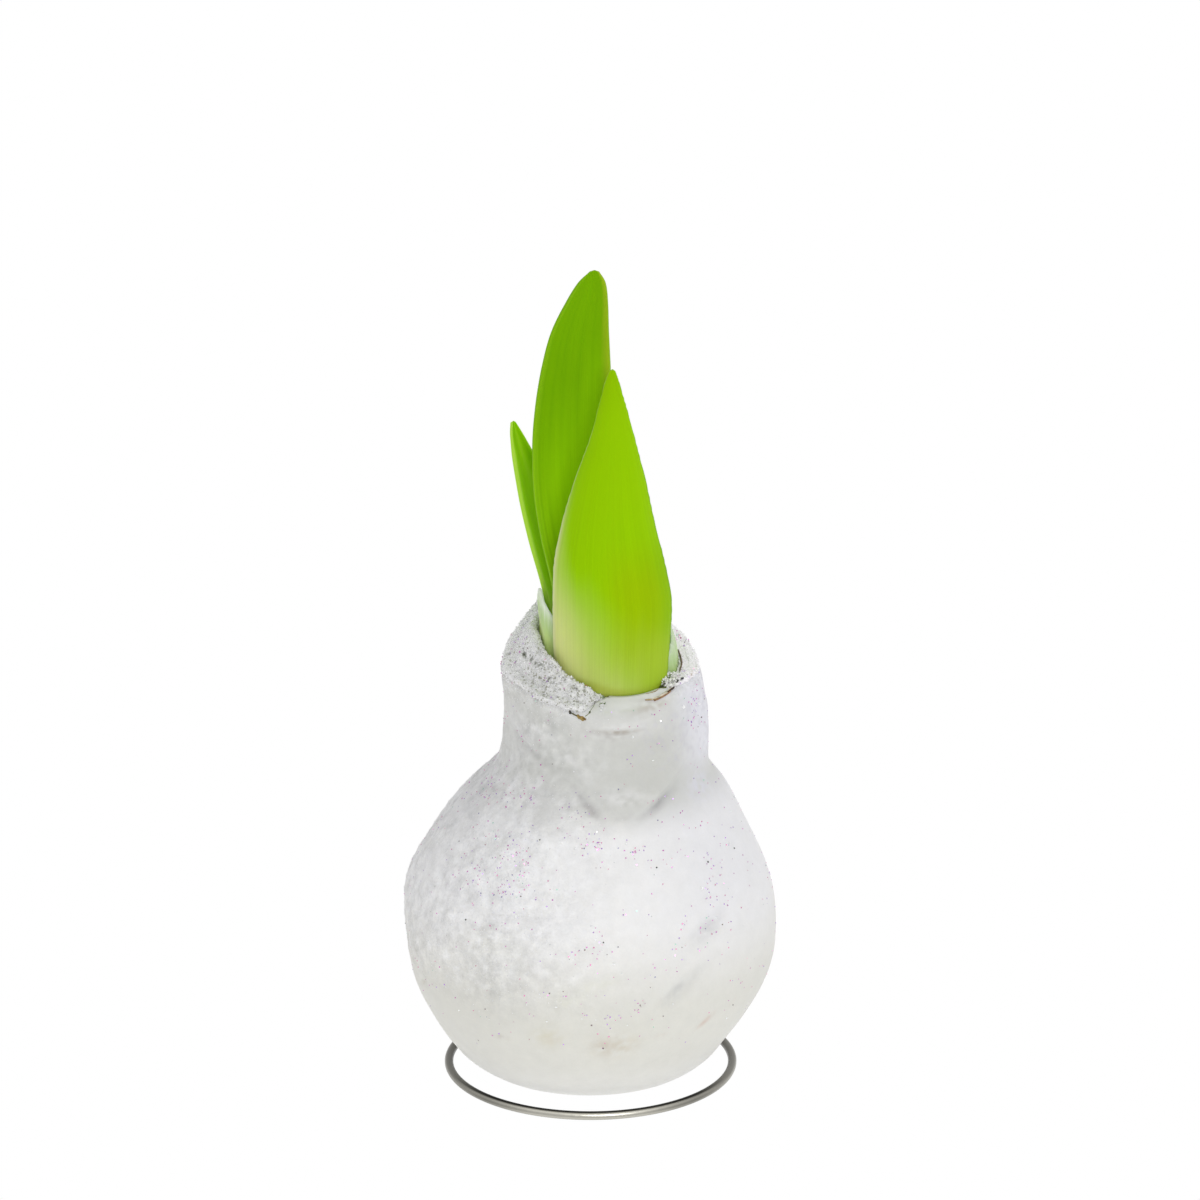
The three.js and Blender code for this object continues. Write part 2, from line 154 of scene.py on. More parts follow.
def cut_plane(x, y):
    return NECK_TOP + CUT_ACROSS_SLOPE * (x - CUT_MIDDLE) + CUT_DEPTH_SLOPE * y


# The cut is uneven towards its edge: direction in degrees, width in radians, and rise.
RIM_SPOTS = ((122, 0.4, 1.6), (158, 0.35, -3.3), (195, 0.6, -1.2), (27, 0.5, -1.9))


def cut_height(x, y):
    outwards = smoothstep(np.hypot(x - NECK_X, y), 14, NECK_RADIUS)
    angle = np.arctan2(y, x - NECK_X)
    spots = sum(rise * towards(angle, degrees, width) for degrees, width, rise in RIM_SPOTS)
    return cut_plane(x, y) + outwards * spots


def outside_point(angle, height, radius):
    """A point on the outside: the neck's own levels slant as the cut does."""
    x = axis_shift(height) + radius * np.cos(angle)
    y = radius * np.sin(angle)
    slant = (cut_height(x, y) - NECK_TOP) * smoothstep(height, NECK_FOOT + 4, NECK_TOP)
    return np.stack([x, y, height + slant], -1)


def cut_point(angle, radius, under):
    """A point under the cut, by its distance from the neck's axis."""
    x = NECK_X + radius * np.cos(angle)
    y = radius * np.sin(angle)
    return np.stack([x, y, cut_height(x, y) - under], -1)


def rim_radius(angle):
    return bulb_radius(angle, NECK_TOP)


def well_edge(angle):
    """How far the well reaches from the neck's axis."""
    offset = WELL_X - NECK_X
    circle = offset * np.cos(angle) + np.sqrt(WELL_RADIUS**2 - (offset * np.sin(angle)) ** 2)
    return circle + WELL_BAY * towards(angle, 140, 0.45)


def front_lap(angle):
    """1 where the wax runs in to the front leaf, 0 elsewhere."""
    half = np.radians(FRONT_LAP_HALF)
    return near(angle, FRONT_LAP_MIDDLE, half - FRONT_LAP_BLUR, half + FRONT_LAP_BLUR)


def wax_inner_radius(angle):
    lip = np.maximum(rim_radius(angle) - LIP, well_edge(angle) + 0.9)
    return lerp(lip, well_edge(angle) + 0.1, front_lap(angle))


def rim_point(angle, past):
    """A point on the wax by how far past the start of the rim's bend it lies.

    Below 0 it is on the cut, and over RIM_BEND it is down the neck.
    """
    bend = math.pi / 2 - np.clip(past, 0, RIM_BEND) / RIM_ROUND
    radius = rim_radius(angle) - RIM_ROUND * (1 - np.cos(bend)) + np.minimum(past, 0)
    on_cut = cut_point(angle, radius, RIM_ROUND * (1 - np.sin(bend)))
    level = NECK_TOP - RIM_ROUND - np.maximum(0, past - RIM_BEND)
    on_neck = outside_point(angle, level, wax_radius(angle, level))
    return np.where((past > RIM_BEND)[..., None], on_neck, on_cut)


# ---- noise, colours and meshes

NOISE_CELLS = 256
NOISE_GAIN = 1.7
NOISE_RNG = np.random.default_rng(11)
SHUFFLE = NOISE_RNG.permutation(NOISE_CELLS)
GRADIENTS = NOISE_RNG.normal(size=(NOISE_CELLS, 3))
GRADIENTS /= np.linalg.norm(GRADIENTS, axis=1)[:, None]


def noise(points, size, shift=0.0):
    """Smooth noise, about -1 to 1, in lumps of about the given size."""
    p = np.asarray(points, float) / size + shift
    cell = np.floor(p).astype(int)
    inside = p - cell
    fade = inside**3 * (inside * (inside * 6 - 15) + 10)
    total = 0
    for corner in product((0, 1), repeat=3):
        x, y, z = np.moveaxis((cell + corner) % NOISE_CELLS, -1, 0)
        pick = SHUFFLE[(SHUFFLE[(SHUFFLE[x] + y) % NOISE_CELLS] + z) % NOISE_CELLS]
        weight = np.prod(np.where(corner, fade, 1 - fade), axis=-1)
        total = total + weight * np.sum(GRADIENTS[pick] * (inside - corner), axis=-1)
    return total * NOISE_GAIN


def noise_over(x, y=0.0, shift=0.0):
    """Noise over two coordinates of one's own."""
    return noise(np.stack([x, y + 0 * x, 0 * x], -1), 1.0, shift)


def cauliflower(points, size, shift=0.0):
    """Round lumps with sharp valleys between them, 0 to about 1."""
    return np.abs(noise(points, size, shift))


def long_patch(right, up, tilt, long, wide):
    """1 in the middle of a long soft patch, falling to 0 round it. Its tilt is in degrees."""
    tilt = np.radians(tilt)
    lengthways = right * np.cos(tilt) + up * np.sin(tilt)
    across = up * np.cos(tilt) - right * np.sin(tilt)
    return np.exp(-((lengthways / long) ** 2) - (across / wide) ** 2)


def along(table, angle):
    """Values between the ones that a table gives by direction, in degrees from -90 to 270."""
    directions, values = np.array(table).T
    return np.interp((np.degrees(angle) + 90) % 360 - 90, directions, values)


def graded(table, distance):
    """Colours between the ones that a table gives by distance."""
    distances = [at for at, _ in table]
    channels = np.array([colour for _, colour in table]).T
    return np.stack([np.interp(distance, distances, channel) for channel in channels], -1)


def mix(a, b, share):
    """Colours mixed by a share a point."""
    return np.asarray(a) * (1 - share[..., None]) + np.asarray(b) * share[..., None]


def layered(tint, *layers):
    """A tint with more colours laid over it in turn, each by a share a point."""
    for colour, share in layers:
        tint = mix(tint, colour, share)
    return tint


def unit(vectors):
    return vectors / np.linalg.norm(vectors, axis=-1, keepdims=True)


def normals_of(rings):
    """Outward unit normals of a (rows, columns, 3) skin that closes round its columns."""
    around = np.roll(rings, -1, 1) - np.roll(rings, 1, 1)
    normal = np.cross(around, np.gradient(rings, axis=0))
    return normal / np.maximum(np.linalg.norm(normal, axis=-1, keepdims=True), 1e-9)


def make_object(name, points, faces, smooth=True):
    mesh = bpy.data.meshes.new(name)
    mesh.from_pydata(np.asarray(points, float) * MM, [], faces)
    mesh.update()
    mesh.polygons.foreach_set("use_smooth", np.full(len(mesh.polygons), smooth))
    thing = bpy.data.objects.new(name, mesh)
    bpy.context.scene.collection.objects.link(thing)
    return thing


def skin_points(rings, first=None, last=None):
    """The points of a closed skin: one to close each end of its rings."""
    first = rings[0].mean(0) if first is None else first
    last = rings[-1].mean(0) if last is None else last
    return np.vstack([[first], rings.reshape(-1, 3), [last]])


def skin_faces(rows, columns):
    """Faces over rings that close round their columns, with a point before and a point after them."""
    here = np.arange(columns)
    after = (here + 1) % columns
    last = 1 + rows * columns
    top = last - columns
    start = 1 + np.arange(rows - 1)[:, None] * columns
    quads = np.stack([start + here, start + after, start + columns + after, start + columns + here], -1)
    faces = [(0, 1 + b, 1 + a) for a, b in zip(here, after)]
    faces += quads.reshape(-1, 4).tolist()
    faces += [(top + a, top + b, last) for a, b in zip(here, after)]
    return [tuple(int(i) for i in face) for face in faces]


def skin(name, rings, first=None, last=None):
    return make_object(name, skin_points(rings, first, last), skin_faces(*rings.shape[:2]))


def with_ends(values):
    """Values a ring point, with the first and the last again for the points that close the ends."""
    return np.concatenate([values[:1], values, values[-1:]])


def paint(thing, name, values):
    """Keeps one value a point, given as (rows, columns)."""
    layer = thing.data.attributes.new(name, "FLOAT", "POINT")
    layer.data.foreach_set("value", with_ends(values.reshape(-1)).astype(np.float32))


def paint_points(thing, name, colours):
    """Keeps one colour a point."""
    layer = thing.data.attributes.new(name, "FLOAT_COLOR", "POINT")
    full = np.ones((len(colours), 4), np.float32)
    full[:, :3] = colours
    layer.data.foreach_set("color", full.ravel())


def tint_skin(thing, tint):
    """Keeps one colour a point of a skin, given as (rows, columns, 3)."""
    paint_points(thing, "tint", with_ends(tint.reshape(-1, 3)))


def put(thing, material, slot, *nodes):
    thing.data.materials.append(material)
    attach(thing, "root")
    if nodes:
        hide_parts(*nodes)


# ---- materials

DRY_DARK = (0.09, 0.055, 0.02)
DRY_PALE = (0.42, 0.36, 0.17)
WELL_GREEN = (0.42, 0.50, 0.17)


class Shader:
    """A Principled material and short ways to feed it."""

    def __init__(self, name, **values):
        self.material = bpy.data.materials.new(name)
        self.material.use_nodes = True
        self.tree = self.material.node_tree
        self.main = self.tree.nodes["Principled BSDF"]
        for socket, value in values.items():
            self.main.inputs[socket.replace("_", " ")].default_value = value
        self.place = self.add("ShaderNodeTexCoord").outputs["Object"]

    def add(self, kind, **settings):
        node = self.tree.nodes.new(kind)
        for key, value in settings.items():
            setattr(node, key, value)
        return node

    def link(self, source, target):
        self.tree.links.new(source, target)

    def feed(self, socket, source):
        self.link(source, self.main.inputs[socket])

    def attribute(self, name, output="Color"):
        return self.add("ShaderNodeAttribute", attribute_name=name).outputs[output]

    def noise(self, size, detail, roughness):
        """Noise in lumps of a size in millimetres."""
        return self.noise_at(self.place, 1 / MM / size, detail, roughness)

    def noise_at(self, place, scale, detail, roughness):
        texture = self.add("ShaderNodeTexNoise")
        texture.inputs["Scale"].default_value = scale
        texture.inputs["Detail"].default_value = detail
        texture.inputs["Roughness"].default_value = roughness
        self.link(place, texture.inputs["Vector"])
        return texture.outputs["Fac"]

    def fibres(self, density, detail, roughness, place=None):
        """Noise in long lumps: about how many there are along a unit of each coordinate."""
        mapping = self.add("ShaderNodeMapping")
        mapping.inputs["Scale"].default_value = density
        self.link(place or self.place, mapping.inputs["Vector"])
        return self.noise_at(mapping.outputs["Vector"], 1.0, detail, roughness)

    def remap(self, source, low, high, from_low=0.0, from_high=1.0):
        node = self.add("ShaderNodeMapRange")
        self.link(source, node.inputs["Value"])
        node.inputs["From Min"].default_value = from_low
        node.inputs["From Max"].default_value = from_high
        node.inputs["To Min"].default_value = low
        node.inputs["To Max"].default_value = high
        return node.outputs["Result"]

    def maths(self, operation, a, b):
        node = self.add("ShaderNodeMath", operation=operation)
        for socket, value in zip(node.inputs, (a, b)):
            if isinstance(value, (int, float)):
                socket.default_value = value
            else:
                self.link(value, socket)
        return node.outputs[0]

    def vector(self, operation, source, values):
        node = self.add("ShaderNodeVectorMath", operation=operation)
        self.link(source, node.inputs[0])
        node.inputs[1].default_value = values
        return node.outputs[0]

    def colour(self, tone):
        """The points' own tint, made lighter or darker by a grey tone."""
        node = self.add("ShaderNodeMix", data_type="RGBA", blend_type="MULTIPLY")
        node.inputs["Factor"].default_value = 1.0
        self.link(self.attribute("tint"), node.inputs["A"])
        self.link(tone, node.inputs["B"])
        self.feed("Base Color", node.outputs["Result"])

    def bump(self, height, depth, strength):
        """Relief, its depth in millimetres."""
        node = self.add("ShaderNodeBump")
        node.inputs["Strength"].default_value = strength
        node.inputs["Distance"].default_value = depth * MM
        self.link(height, node.inputs["Height"])
        self.feed("Normal", node.outputs["Normal"])


def wax_material():
    """Smooth wax, rougher and whiter where snow is stuck on it."""
    shader = Shader(
        "wax",
        Subsurface_Weight=0.35,
        Subsurface_Scale=0.0022,
        Subsurface_Radius=(1.0, 0.95, 0.85),
        Specular_IOR_Level=0.35,
        IOR=1.44,
    )
    flock = shader.attribute("flock", "Fac")
    grain = shader.noise(0.6, 4.0, 0.7)
    mottle = shader.noise(3.2, 5.0, 0.6)
    patches = shader.remap(mottle, -1.0, 1.0, 0.25, 0.75)
    patches = shader.maths("MULTIPLY", patches, shader.remap(flock, 0.03, 0.22))
    specks = shader.remap(grain, -1.0, 1.0, 0.2, 0.8)
    specks = shader.maths("MULTIPLY", specks, shader.remap(flock, 0.02, 0.12))
    shader.colour(shader.maths("ADD", shader.maths("ADD", patches, 1.0), specks))
    shader.feed("Roughness", shader.remap(flock, 0.45, 0.85))
    shader.bump(shader.maths("MULTIPLY", grain, shader.remap(flock, 0.1, 1.0)), 0.25, 0.7)
    return shader.material


def frost_material():
    shader = Shader(
        "frost",
        Subsurface_Weight=0.25,
        Subsurface_Scale=0.0012,
        Subsurface_Radius=(1.0, 1.0, 1.0),
        Roughness=0.7,
        Specular_IOR_Level=0.4,
        IOR=1.4,
    )
    grain = shader.noise(0.5, 3.0, 0.7)
    shader.colour(shader.remap(grain, 0.92, 1.05))
    shader.bump(grain, 0.3, 0.8)
    return shader.material


def flake_material():
    shader = Shader("glitter", Metallic=0.85, Roughness=0.22)
    shader.feed("Base Color", shader.attribute("tint"))
    return shader.material


def leaf_material(name, roughness):
    """A leaf with fine veins along its blade."""
    shader = Shader(
        name,
        Subsurface_Weight=0.22,
        Subsurface_Scale=0.0018,
        Subsurface_Radius=(0.7, 1.0, 0.25),
        Specular_IOR_Level=0.1,
        Specular_Tint=(0.75, 1.0, 0.15, 1),
        IOR=1.42,
    )
    blade = shader.add("ShaderNodeUVMap", uv_map="blade").outputs["UV"]
    veins = shader.fibres((95, 1.2, 1), 2.0, 0.5, blade)
    cells = shader.noise(0.6, 2.0, 0.5)
    shader.colour(shader.maths("ADD", shader.remap(veins, 0.9, 1.09), shader.remap(cells, -0.02, 0.02)))
    shader.feed("Roughness", shader.remap(veins, roughness, roughness + 0.12))
    shader.bump(veins, 0.12, 0.6)
    return shader.material


def scale_material():
    shader = Shader("torn_scale", Roughness=0.7, Subsurface_Weight=0.12, Subsurface_Scale=0.001)
    fibres = shader.fibres((900, 900, 120), 4.0, 0.6)
    shader.colour(shader.remap(fibres, 0.75, 1.2))
    shader.bump(fibres, 0.2, 0.7)
    return shader.material


def sheath_material():
    """Thin, moist and pale: light comes through it."""
    shader = Shader(
        "sheath",
        Roughness=0.4,
        Specular_IOR_Level=0.25,
        Subsurface_Weight=0.6,
        Subsurface_Scale=0.003,
        Subsurface_Radius=(0.9, 1.0, 0.7),
    )
    fibres = shader.fibres((1100, 1100, 90), 3.0, 0.6)
    shader.colour(shader.remap(fibres, 0.88, 1.08))
    shader.bump(fibres, 0.12, 0.6)
    return shader.material


def wire_material():
    shader = Shader("nickel_wire", Metallic=1.0)
    scratches = shader.noise(1.6, 4.0, 0.7)
    shader.colour(shader.remap(scratches, 0.9, 1.1))
    shader.feed("Roughness", shader.remap(scratches, 0.24, 0.42))
    shader.bump(scratches, 0.02, 0.4)
    return shader.material


def bulb_material():
    """The cut scales of the bulb: dry, brown and fibrous outside, pale green and moist in the well."""
    shader = Shader("bulb_scales", Roughness=0.8)
    fibres = shader.fibres((700, 700, 160), 5.0, 0.7)
    ramp = shader.add("ShaderNodeValToRGB")
    for element, position, colour in zip(ramp.color_ramp.elements, (0.3, 0.7), (DRY_DARK, DRY_PALE)):
        element.position = position
        element.color = (*colour, 1)
    shader.link(fibres, ramp.inputs["Fac"])
    from_well = shader.vector("SUBTRACT", shader.place, (WELL_X * MM, 0, 0))
    length = shader.add("ShaderNodeVectorMath", operation="LENGTH")
    shader.link(shader.vector("MULTIPLY", from_well, (1, 1, 0)), length.inputs[0])
    well = ((WELL_RADIUS - 0.5) * MM, (WELL_RADIUS + 1.5) * MM)
    blend = shader.add("ShaderNodeMix", data_type="RGBA")
    shader.link(shader.remap(length.outputs["Value"], 0, 1, *well), blend.inputs["Factor"])
    blend.inputs["A"].default_value = (*WELL_GREEN, 1)
    shader.link(ramp.outputs["Color"], blend.inputs["B"])
    shader.feed("Base Color", blend.outputs["Result"])
    shader.bump(fibres, 0.4, 0.8)
    return shader.material


# ---- wax

COLUMNS = 360
BODY_ROWS = 132
NECK_ROWS = 62
RIM_ROWS = 7
LAP_ROWS = 7
INNER_BODY_ROWS = 12
INNER_NECK_ROWS = 6
BASE_SHARES = (0.15, 0.4, 0.65, 0.85, 0.95)
LAP_FADE = (0.8, 0.6, 0.4, 0.2, 0)  # how the relief ends towards the lap's edge

WAX_WHITE = (0.86, 0.855, 0.85)
LOW_WAX_AND_PAINTED_SHADE = (0.695, 0.69, 0.64)
BASE_WAX = (0.775, 0.77, 0.73)
NECK_WAX = (0.585, 0.59, 0.56)
UNDER_LEAF_PAINTED_LIGHT = (0.80, 0.80, 0.79)
RIGHT_WAX = (0.74, 0.74, 0.785)
HOLLOW_WAX = (0.70, 0.70, 0.65)
LAP_WAX_AND_PAINTED_LIGHT = (0.80, 0.79, 0.82)
LILAC_WHITE = (0.75, 0.75, 0.81)
LILAC_GREY = (0.56, 0.55, 0.60)
SNOW_BLUISH_WHITE = (0.86, 0.86, 0.88)
SNOW_WHITE = (0.96, 0.96, 0.965)
BEIGE = (0.62, 0.55, 0.42)
PINK_BROWN = (0.55, 0.36, 0.28)
PAINTED_SHADE_GREY = (0.50, 0.49, 0.48)
DARK_SPOT = (0.40, 0.36, 0.32)
OLIVE_WAX = (0.60, 0.62, 0.45)

BASE_MIDDLE = np.array([0, 0, BASE_HEIGHT])

# Creases and dents: direction and level height of the middle, tilt of the long way in degrees,
# half its length, half its width and its rise, all in millimetres.
MARKS = (
    (-80, 100.9, -4, 4.4, 0.7, -0.8),
    (-80, 102.8, -2, 5, 1.1, 0.15),
    (-82, 98.5, 0, 7, 2.2, -0.3),
    (-97.5, 77.6, -38, 5.4, 1, -0.95),
    (-102, 80.5, -38, 5, 1.6, 0.35),
    (-60, 75.9, 22, 6.2, 1.1, -1.2),
    (-50, 79, 30, 5, 2.2, -0.5),
    (-80, 74.6, 0, 4.2, 1.1, -0.4),
    (-134, 96.8, -40, 1.6, 0.5, -0.3),
    (-141, 88.4, -16, 8, 1.3, -0.8),
    (-150, 92.5, -20, 7, 1.6, 0.35),
    (-51, 48.8, 24, 5.6, 2.3, -1.1),
    (-61.5, 35.5, 38, 6.4, 2.1, -1),
    (-155, 29, 30, 2.6, 0.7, -0.5),
    (-116, 33, 20, 9, 6, -0.6),
    (178, 68, 0, 26, 14, -0.85),
    (-102, 93, 80, 6, 1.6, 0.3),
    (-60, 90, 70, 6, 1.8, 0.3),
    (-36, 93, 85, 6, 2, -0.45),
    (-48, 86, 40, 7, 1.6, -0.3),
    (60, 45, 50, 9, 2.5, -0.5),
    (120, 60, -30, 8, 2, -0.5),
    (150, 90, 70, 7, 1.6, -0.5),
    (75, 88, 80, 7, 1.8, -0.4),
)

# Stains, and painted shade and painted highlights on creases, dents, folds and the belly: direction and
# level
# # height of the middle, tilt, half its length, half its width, colour, share.
STAINS_AND_PAINTED_SHADING = (
    # painted highlight where the V under the neck's lip bulges
    (-78, 78, 0, 6.5, 1.7, (0.78, 0.78, 0.77), 0.9),
    # painted light on the belly's upper left, over its snow white
    (-121, 63, 0, 12, 6.5, (0.99, 0.99, 0.99), 0.8),
    # painted shade on the belly's left
    (-124, 45.5, 0, 8, 4.5, (0.62, 0.62, 0.57), 0.45),
    # painted shade high on the neck's left
    (-123, 99.5, 0, 6.5, 4, (0.47, 0.48, 0.46), 0.5),
    # painted shadow in the hollow low on the belly's left
    (-120, 36, 15, 11, 8, (0.56, 0.56, 0.545), 0.42),
    # stains and dark spots low on the bulb
    (-84, 21.4, 0, 3.3, 2.5, (0.53, 0.47, 0.39), 0.55),
    (-77, 21.2, 15, 2.6, 1.8, (0.58, 0.53, 0.43), 0.5),
    (-81, 21.3, 0, 5.6, 4.2, (0.6, 0.55, 0.44), 0.26),
    (-103, 23.6, 0, 3.4, 3, (0.6, 0.56, 0.4), 0.42),
    (-102, 23, 0, 1.8, 1.2, PINK_BROWN, 0.08),
    (-120, 21.8, 0, 1, 0.6, DARK_SPOT, 0.4),
    (-117, 21.6, 0, 0.6, 0.6, DARK_SPOT, 0.35),
    (-49, 24, 42, 2.2, 0.8, PINK_BROWN, 0.5),
    (-38, 27, 40, 1, 0.5, PINK_BROWN, 0.3),
    (-66, 23, 10, 1.2, 0.6, PINK_BROWN, 0.25),
    # painted shade in the two dents on the belly's right
    (-51, 48.4, 24, 5, 1.7, (0.5, 0.5, 0.5), 0.42),
    (-61.5, 35, 38, 6, 1.7, (0.52, 0.52, 0.51), 0.4),
    # olive tints
    (-88, 38, 20, 5, 2, OLIVE_WAX, 0.2),
    (-97, 34, 0, 2.5, 2, OLIVE_WAX, 0.2),
    # painted shade in the neck's dimple, with a brown tint of its own
    (-80, 100.8, -4, 3.8, 0.55, (0.42, 0.33, 0.24), 0.55),
    # painted highlight on the ridge above the dimple
    (-79, 102.8, -2, 5, 0.8, (0.85, 0.85, 0.86), 0.2),
    # painted shade along the V crease under the neck's lip
    (-97.5, 77.4, -38, 4.6, 0.7, (0.42, 0.4, 0.4), 0.45),
    (-93.5, 75.9, -30, 2, 0.8, (0.46, 0.43, 0.43), 0.35),
    (-60, 75.6, 22, 5.4, 0.9, PAINTED_SHADE_GREY, 0.38),
    (-79, 74.5, 0, 4, 0.7, PAINTED_SHADE_GREY, 0.32),
    # painted shade in the creases and the fold on the neck's left
    (-134, 96.8, -40, 1.3, 0.4, PAINTED_SHADE_GREY, 0.4),
    (-139, 88, -16, 7, 1, PAINTED_SHADE_GREY, 0.3),
    # painted highlight on the ridge beside that fold
    (-152, 92.5, -20, 6, 1.6, (0.8, 0.8, 0.82), 0.35),
    # a beige stain in a crease
    (-155, 28.6, 30, 2.4, 0.5, BEIGE, 0.3),
    # painted shade under the torn scale at the rim's front right
    (-52, 106.4, 0, 5, 0.6, (0.47, 0.44, 0.46), 0.5),
    # brown and grey-brown patches by the torn scales
    (-54, 105, 0, 3, 0.5, (0.45, 0.36, 0.26), 0.3),
    (-61, 105, 6, 4, 1, (0.42, 0.38, 0.34), 0.5),
    # painted shade on the neck's left
    (-123, 89, 0, 12, 8, (0.4, 0.41, 0.38), 0.33),
    (-134, 81.5, 0, 5.5, 3.5, (0.4, 0.41, 0.39), 0.3),
    # painted shade round the neck's dimple
    (-87, 99.8, -4, 5, 1.7, (0.42, 0.4, 0.38), 0.5),
    # painted bluish shade in the hollow of the right shoulder
    (-29, 77, 0, 5, 3, (0.74, 0.74, 0.86), 0.5),
    # stains on the back
    (100, 30, 0, 3.5, 2.5, BEIGE, 0.3),
    (20, 26, 30, 3, 1.6, PINK_BROWN, 0.2),
)


def patch(angle, level, direction, height, tilt, long, wide):
    """A long soft patch on the outside."""
    radius = plain_radius(np.asarray(float(min(height, NECK_TOP))))
    return long_patch(turn(np.radians(direction), angle) * radius, level - height, tilt, long, wide)


def form_levels(body_rows, neck_rows, inset, top):
    """Heights of rings that lie evenly over the ball, then over the neck."""
    reach = BELLY_RADIUS - inset
    start = math.acos((BELLY_HEIGHT - BASE_HEIGHT - inset) / reach)
    end = math.acos((BELLY_HEIGHT - NECK_FOOT) / reach)
    body = BELLY_HEIGHT - reach * np.cos(np.linspace(start, end, body_rows + 1))
    return np.concatenate([body, np.linspace(NECK_FOOT, top, neck_rows + 1)[1:]])


# How far past the start of the rim's bend the crust reaches: direction in degrees, millimetres.
CRUST_EDGE = (
    (-36, 0.2), (-28, 0.3), (-20, 1.4), (-10, 1.7), (8, 2.3), (30, 3), (60, 2.4), (90, 3.6), (120, 3),
    (150, 4.5), (175, 6.5), (188, 6.8), (202, 4.8), (211, 2.6), (226.5, 2.5), (238, 2), (244, 1.9),
    (251.5, 2.35), (256, 2), (260.5, 1.6), (262.5, 0.9), (264.5, -1), (266.5, -3.2), (272, -4.4),
)


def flock_share(angle, level, points):
    """Where artificial snow is stuck thickly on the wax: the left of the body, and round the crust."""
    left = near(angle, 196, np.radians(25), np.radians(95))
    body = smoothstep(level, 24, 42) * (1 - 0.5 * smoothstep(level, 76, 82))
    ragged = 0.3 * noise(points, 11) + 0.15 * noise(points, 4)
    snow = np.clip(left * body * (1 + ragged) + 0.5 * ragged * left * body, 0, 1)
    rim_level = NECK_TOP - RIM_ROUND
    past = RIM_BEND + np.where(level < rim_level, rim_level - level, 1.4 * (rim_level - level))
    past = past + 1.2 * noise(points, 4) + 0.7 * noise(points, 1.5)
    edge = along(CRUST_EDGE, angle)
    rim = falling(past, edge + 0.2, edge + 2.6) * (1 - front_lap(angle))
    return np.clip(np.maximum(snow, rim), 0, 1)


def wax_outside(angles):
    """The wax from the middle of its base up over the rim and in over the cut, with no relief yet."""
    levels = form_levels(BODY_ROWS, NECK_ROWS, 0, NECK_TOP - RIM_ROUND)
    angle, level = np.meshgrid(angles, levels)
    side = outside_point(angle, level, wax_radius(angle, level))
    base = BASE_MIDDLE + (side[0] - BASE_MIDDLE) * np.array(BASE_SHARES)[:, None, None]
    rim = []
    for bend in np.radians(np.linspace(12, 90, RIM_ROWS)):
        radius = rim_radius(angles) - RIM_ROUND * (1 - math.cos(bend))
        rim.append(cut_point(angles, radius, RIM_ROUND * (1 - math.sin(bend))))
    laps = []
    for share in np.linspace(0.15, 1, LAP_ROWS):
        radius = lerp(rim_radius(angles) - RIM_ROUND, wax_inner_radius(angles), share)
        laps.append(cut_point(angles, radius, lerp(0, 0.1 - 0.6 * front_lap(angles), share)))
    rim_levels = NECK_TOP - RIM_ROUND + np.linspace(0.2, 4.0, RIM_ROWS + LAP_ROWS)
    level = np.concatenate([np.full(len(base), BASE_HEIGHT), levels, rim_levels])[:, None] + 0 * angles
    return np.concatenate([base, side, rim, laps]), 0 * level + angles, level


def wax_inside(angles):
    """The wax from the edge of its lap down to the floor inside."""
    levels = form_levels(INNER_BODY_ROWS, INNER_NECK_ROWS, WAX, NECK_TOP - WAX)[::-1]
    angle, level = np.meshgrid(angles, levels)
    inner = outside_point(angle, level, bulb_radius(angle, level) - WAX)
    edge = cut_point(angles, wax_inner_radius(angles), WAX)[None]
    return np.concatenate([edge, inner])


def wax_relief(outer, angle, level, flock, frosted):
    """How far the wax stands proud of its plain form: swellings, stuck snow, creases and dents."""
    relief = (0.24 * noise(outer, 14) + 0.05 * noise(outer, 5.5)) * smoothstep(level, 5, 14)
    snow = 0.28 * noise(outer, 6.5, 2) + 0.22 * (cauliflower(outer, 3.4, 7) - 0.3)
    snow = snow + 0.09 * noise(outer, 1.7, 3)
    relief = relief + flock * snow * smoothstep(level, 20, 30)
    relief = relief + frosted * (0.16 * noise(outer, 2.6, 4) + 0.07 * noise(outer, 1.2, 6))
    relief = relief + sum(rise * patch(angle, level, *place) for *place, rise in MARKS)
    fade = np.concatenate([np.ones(len(outer) - len(LAP_FADE)), LAP_FADE])[:, None]
    return relief * fade


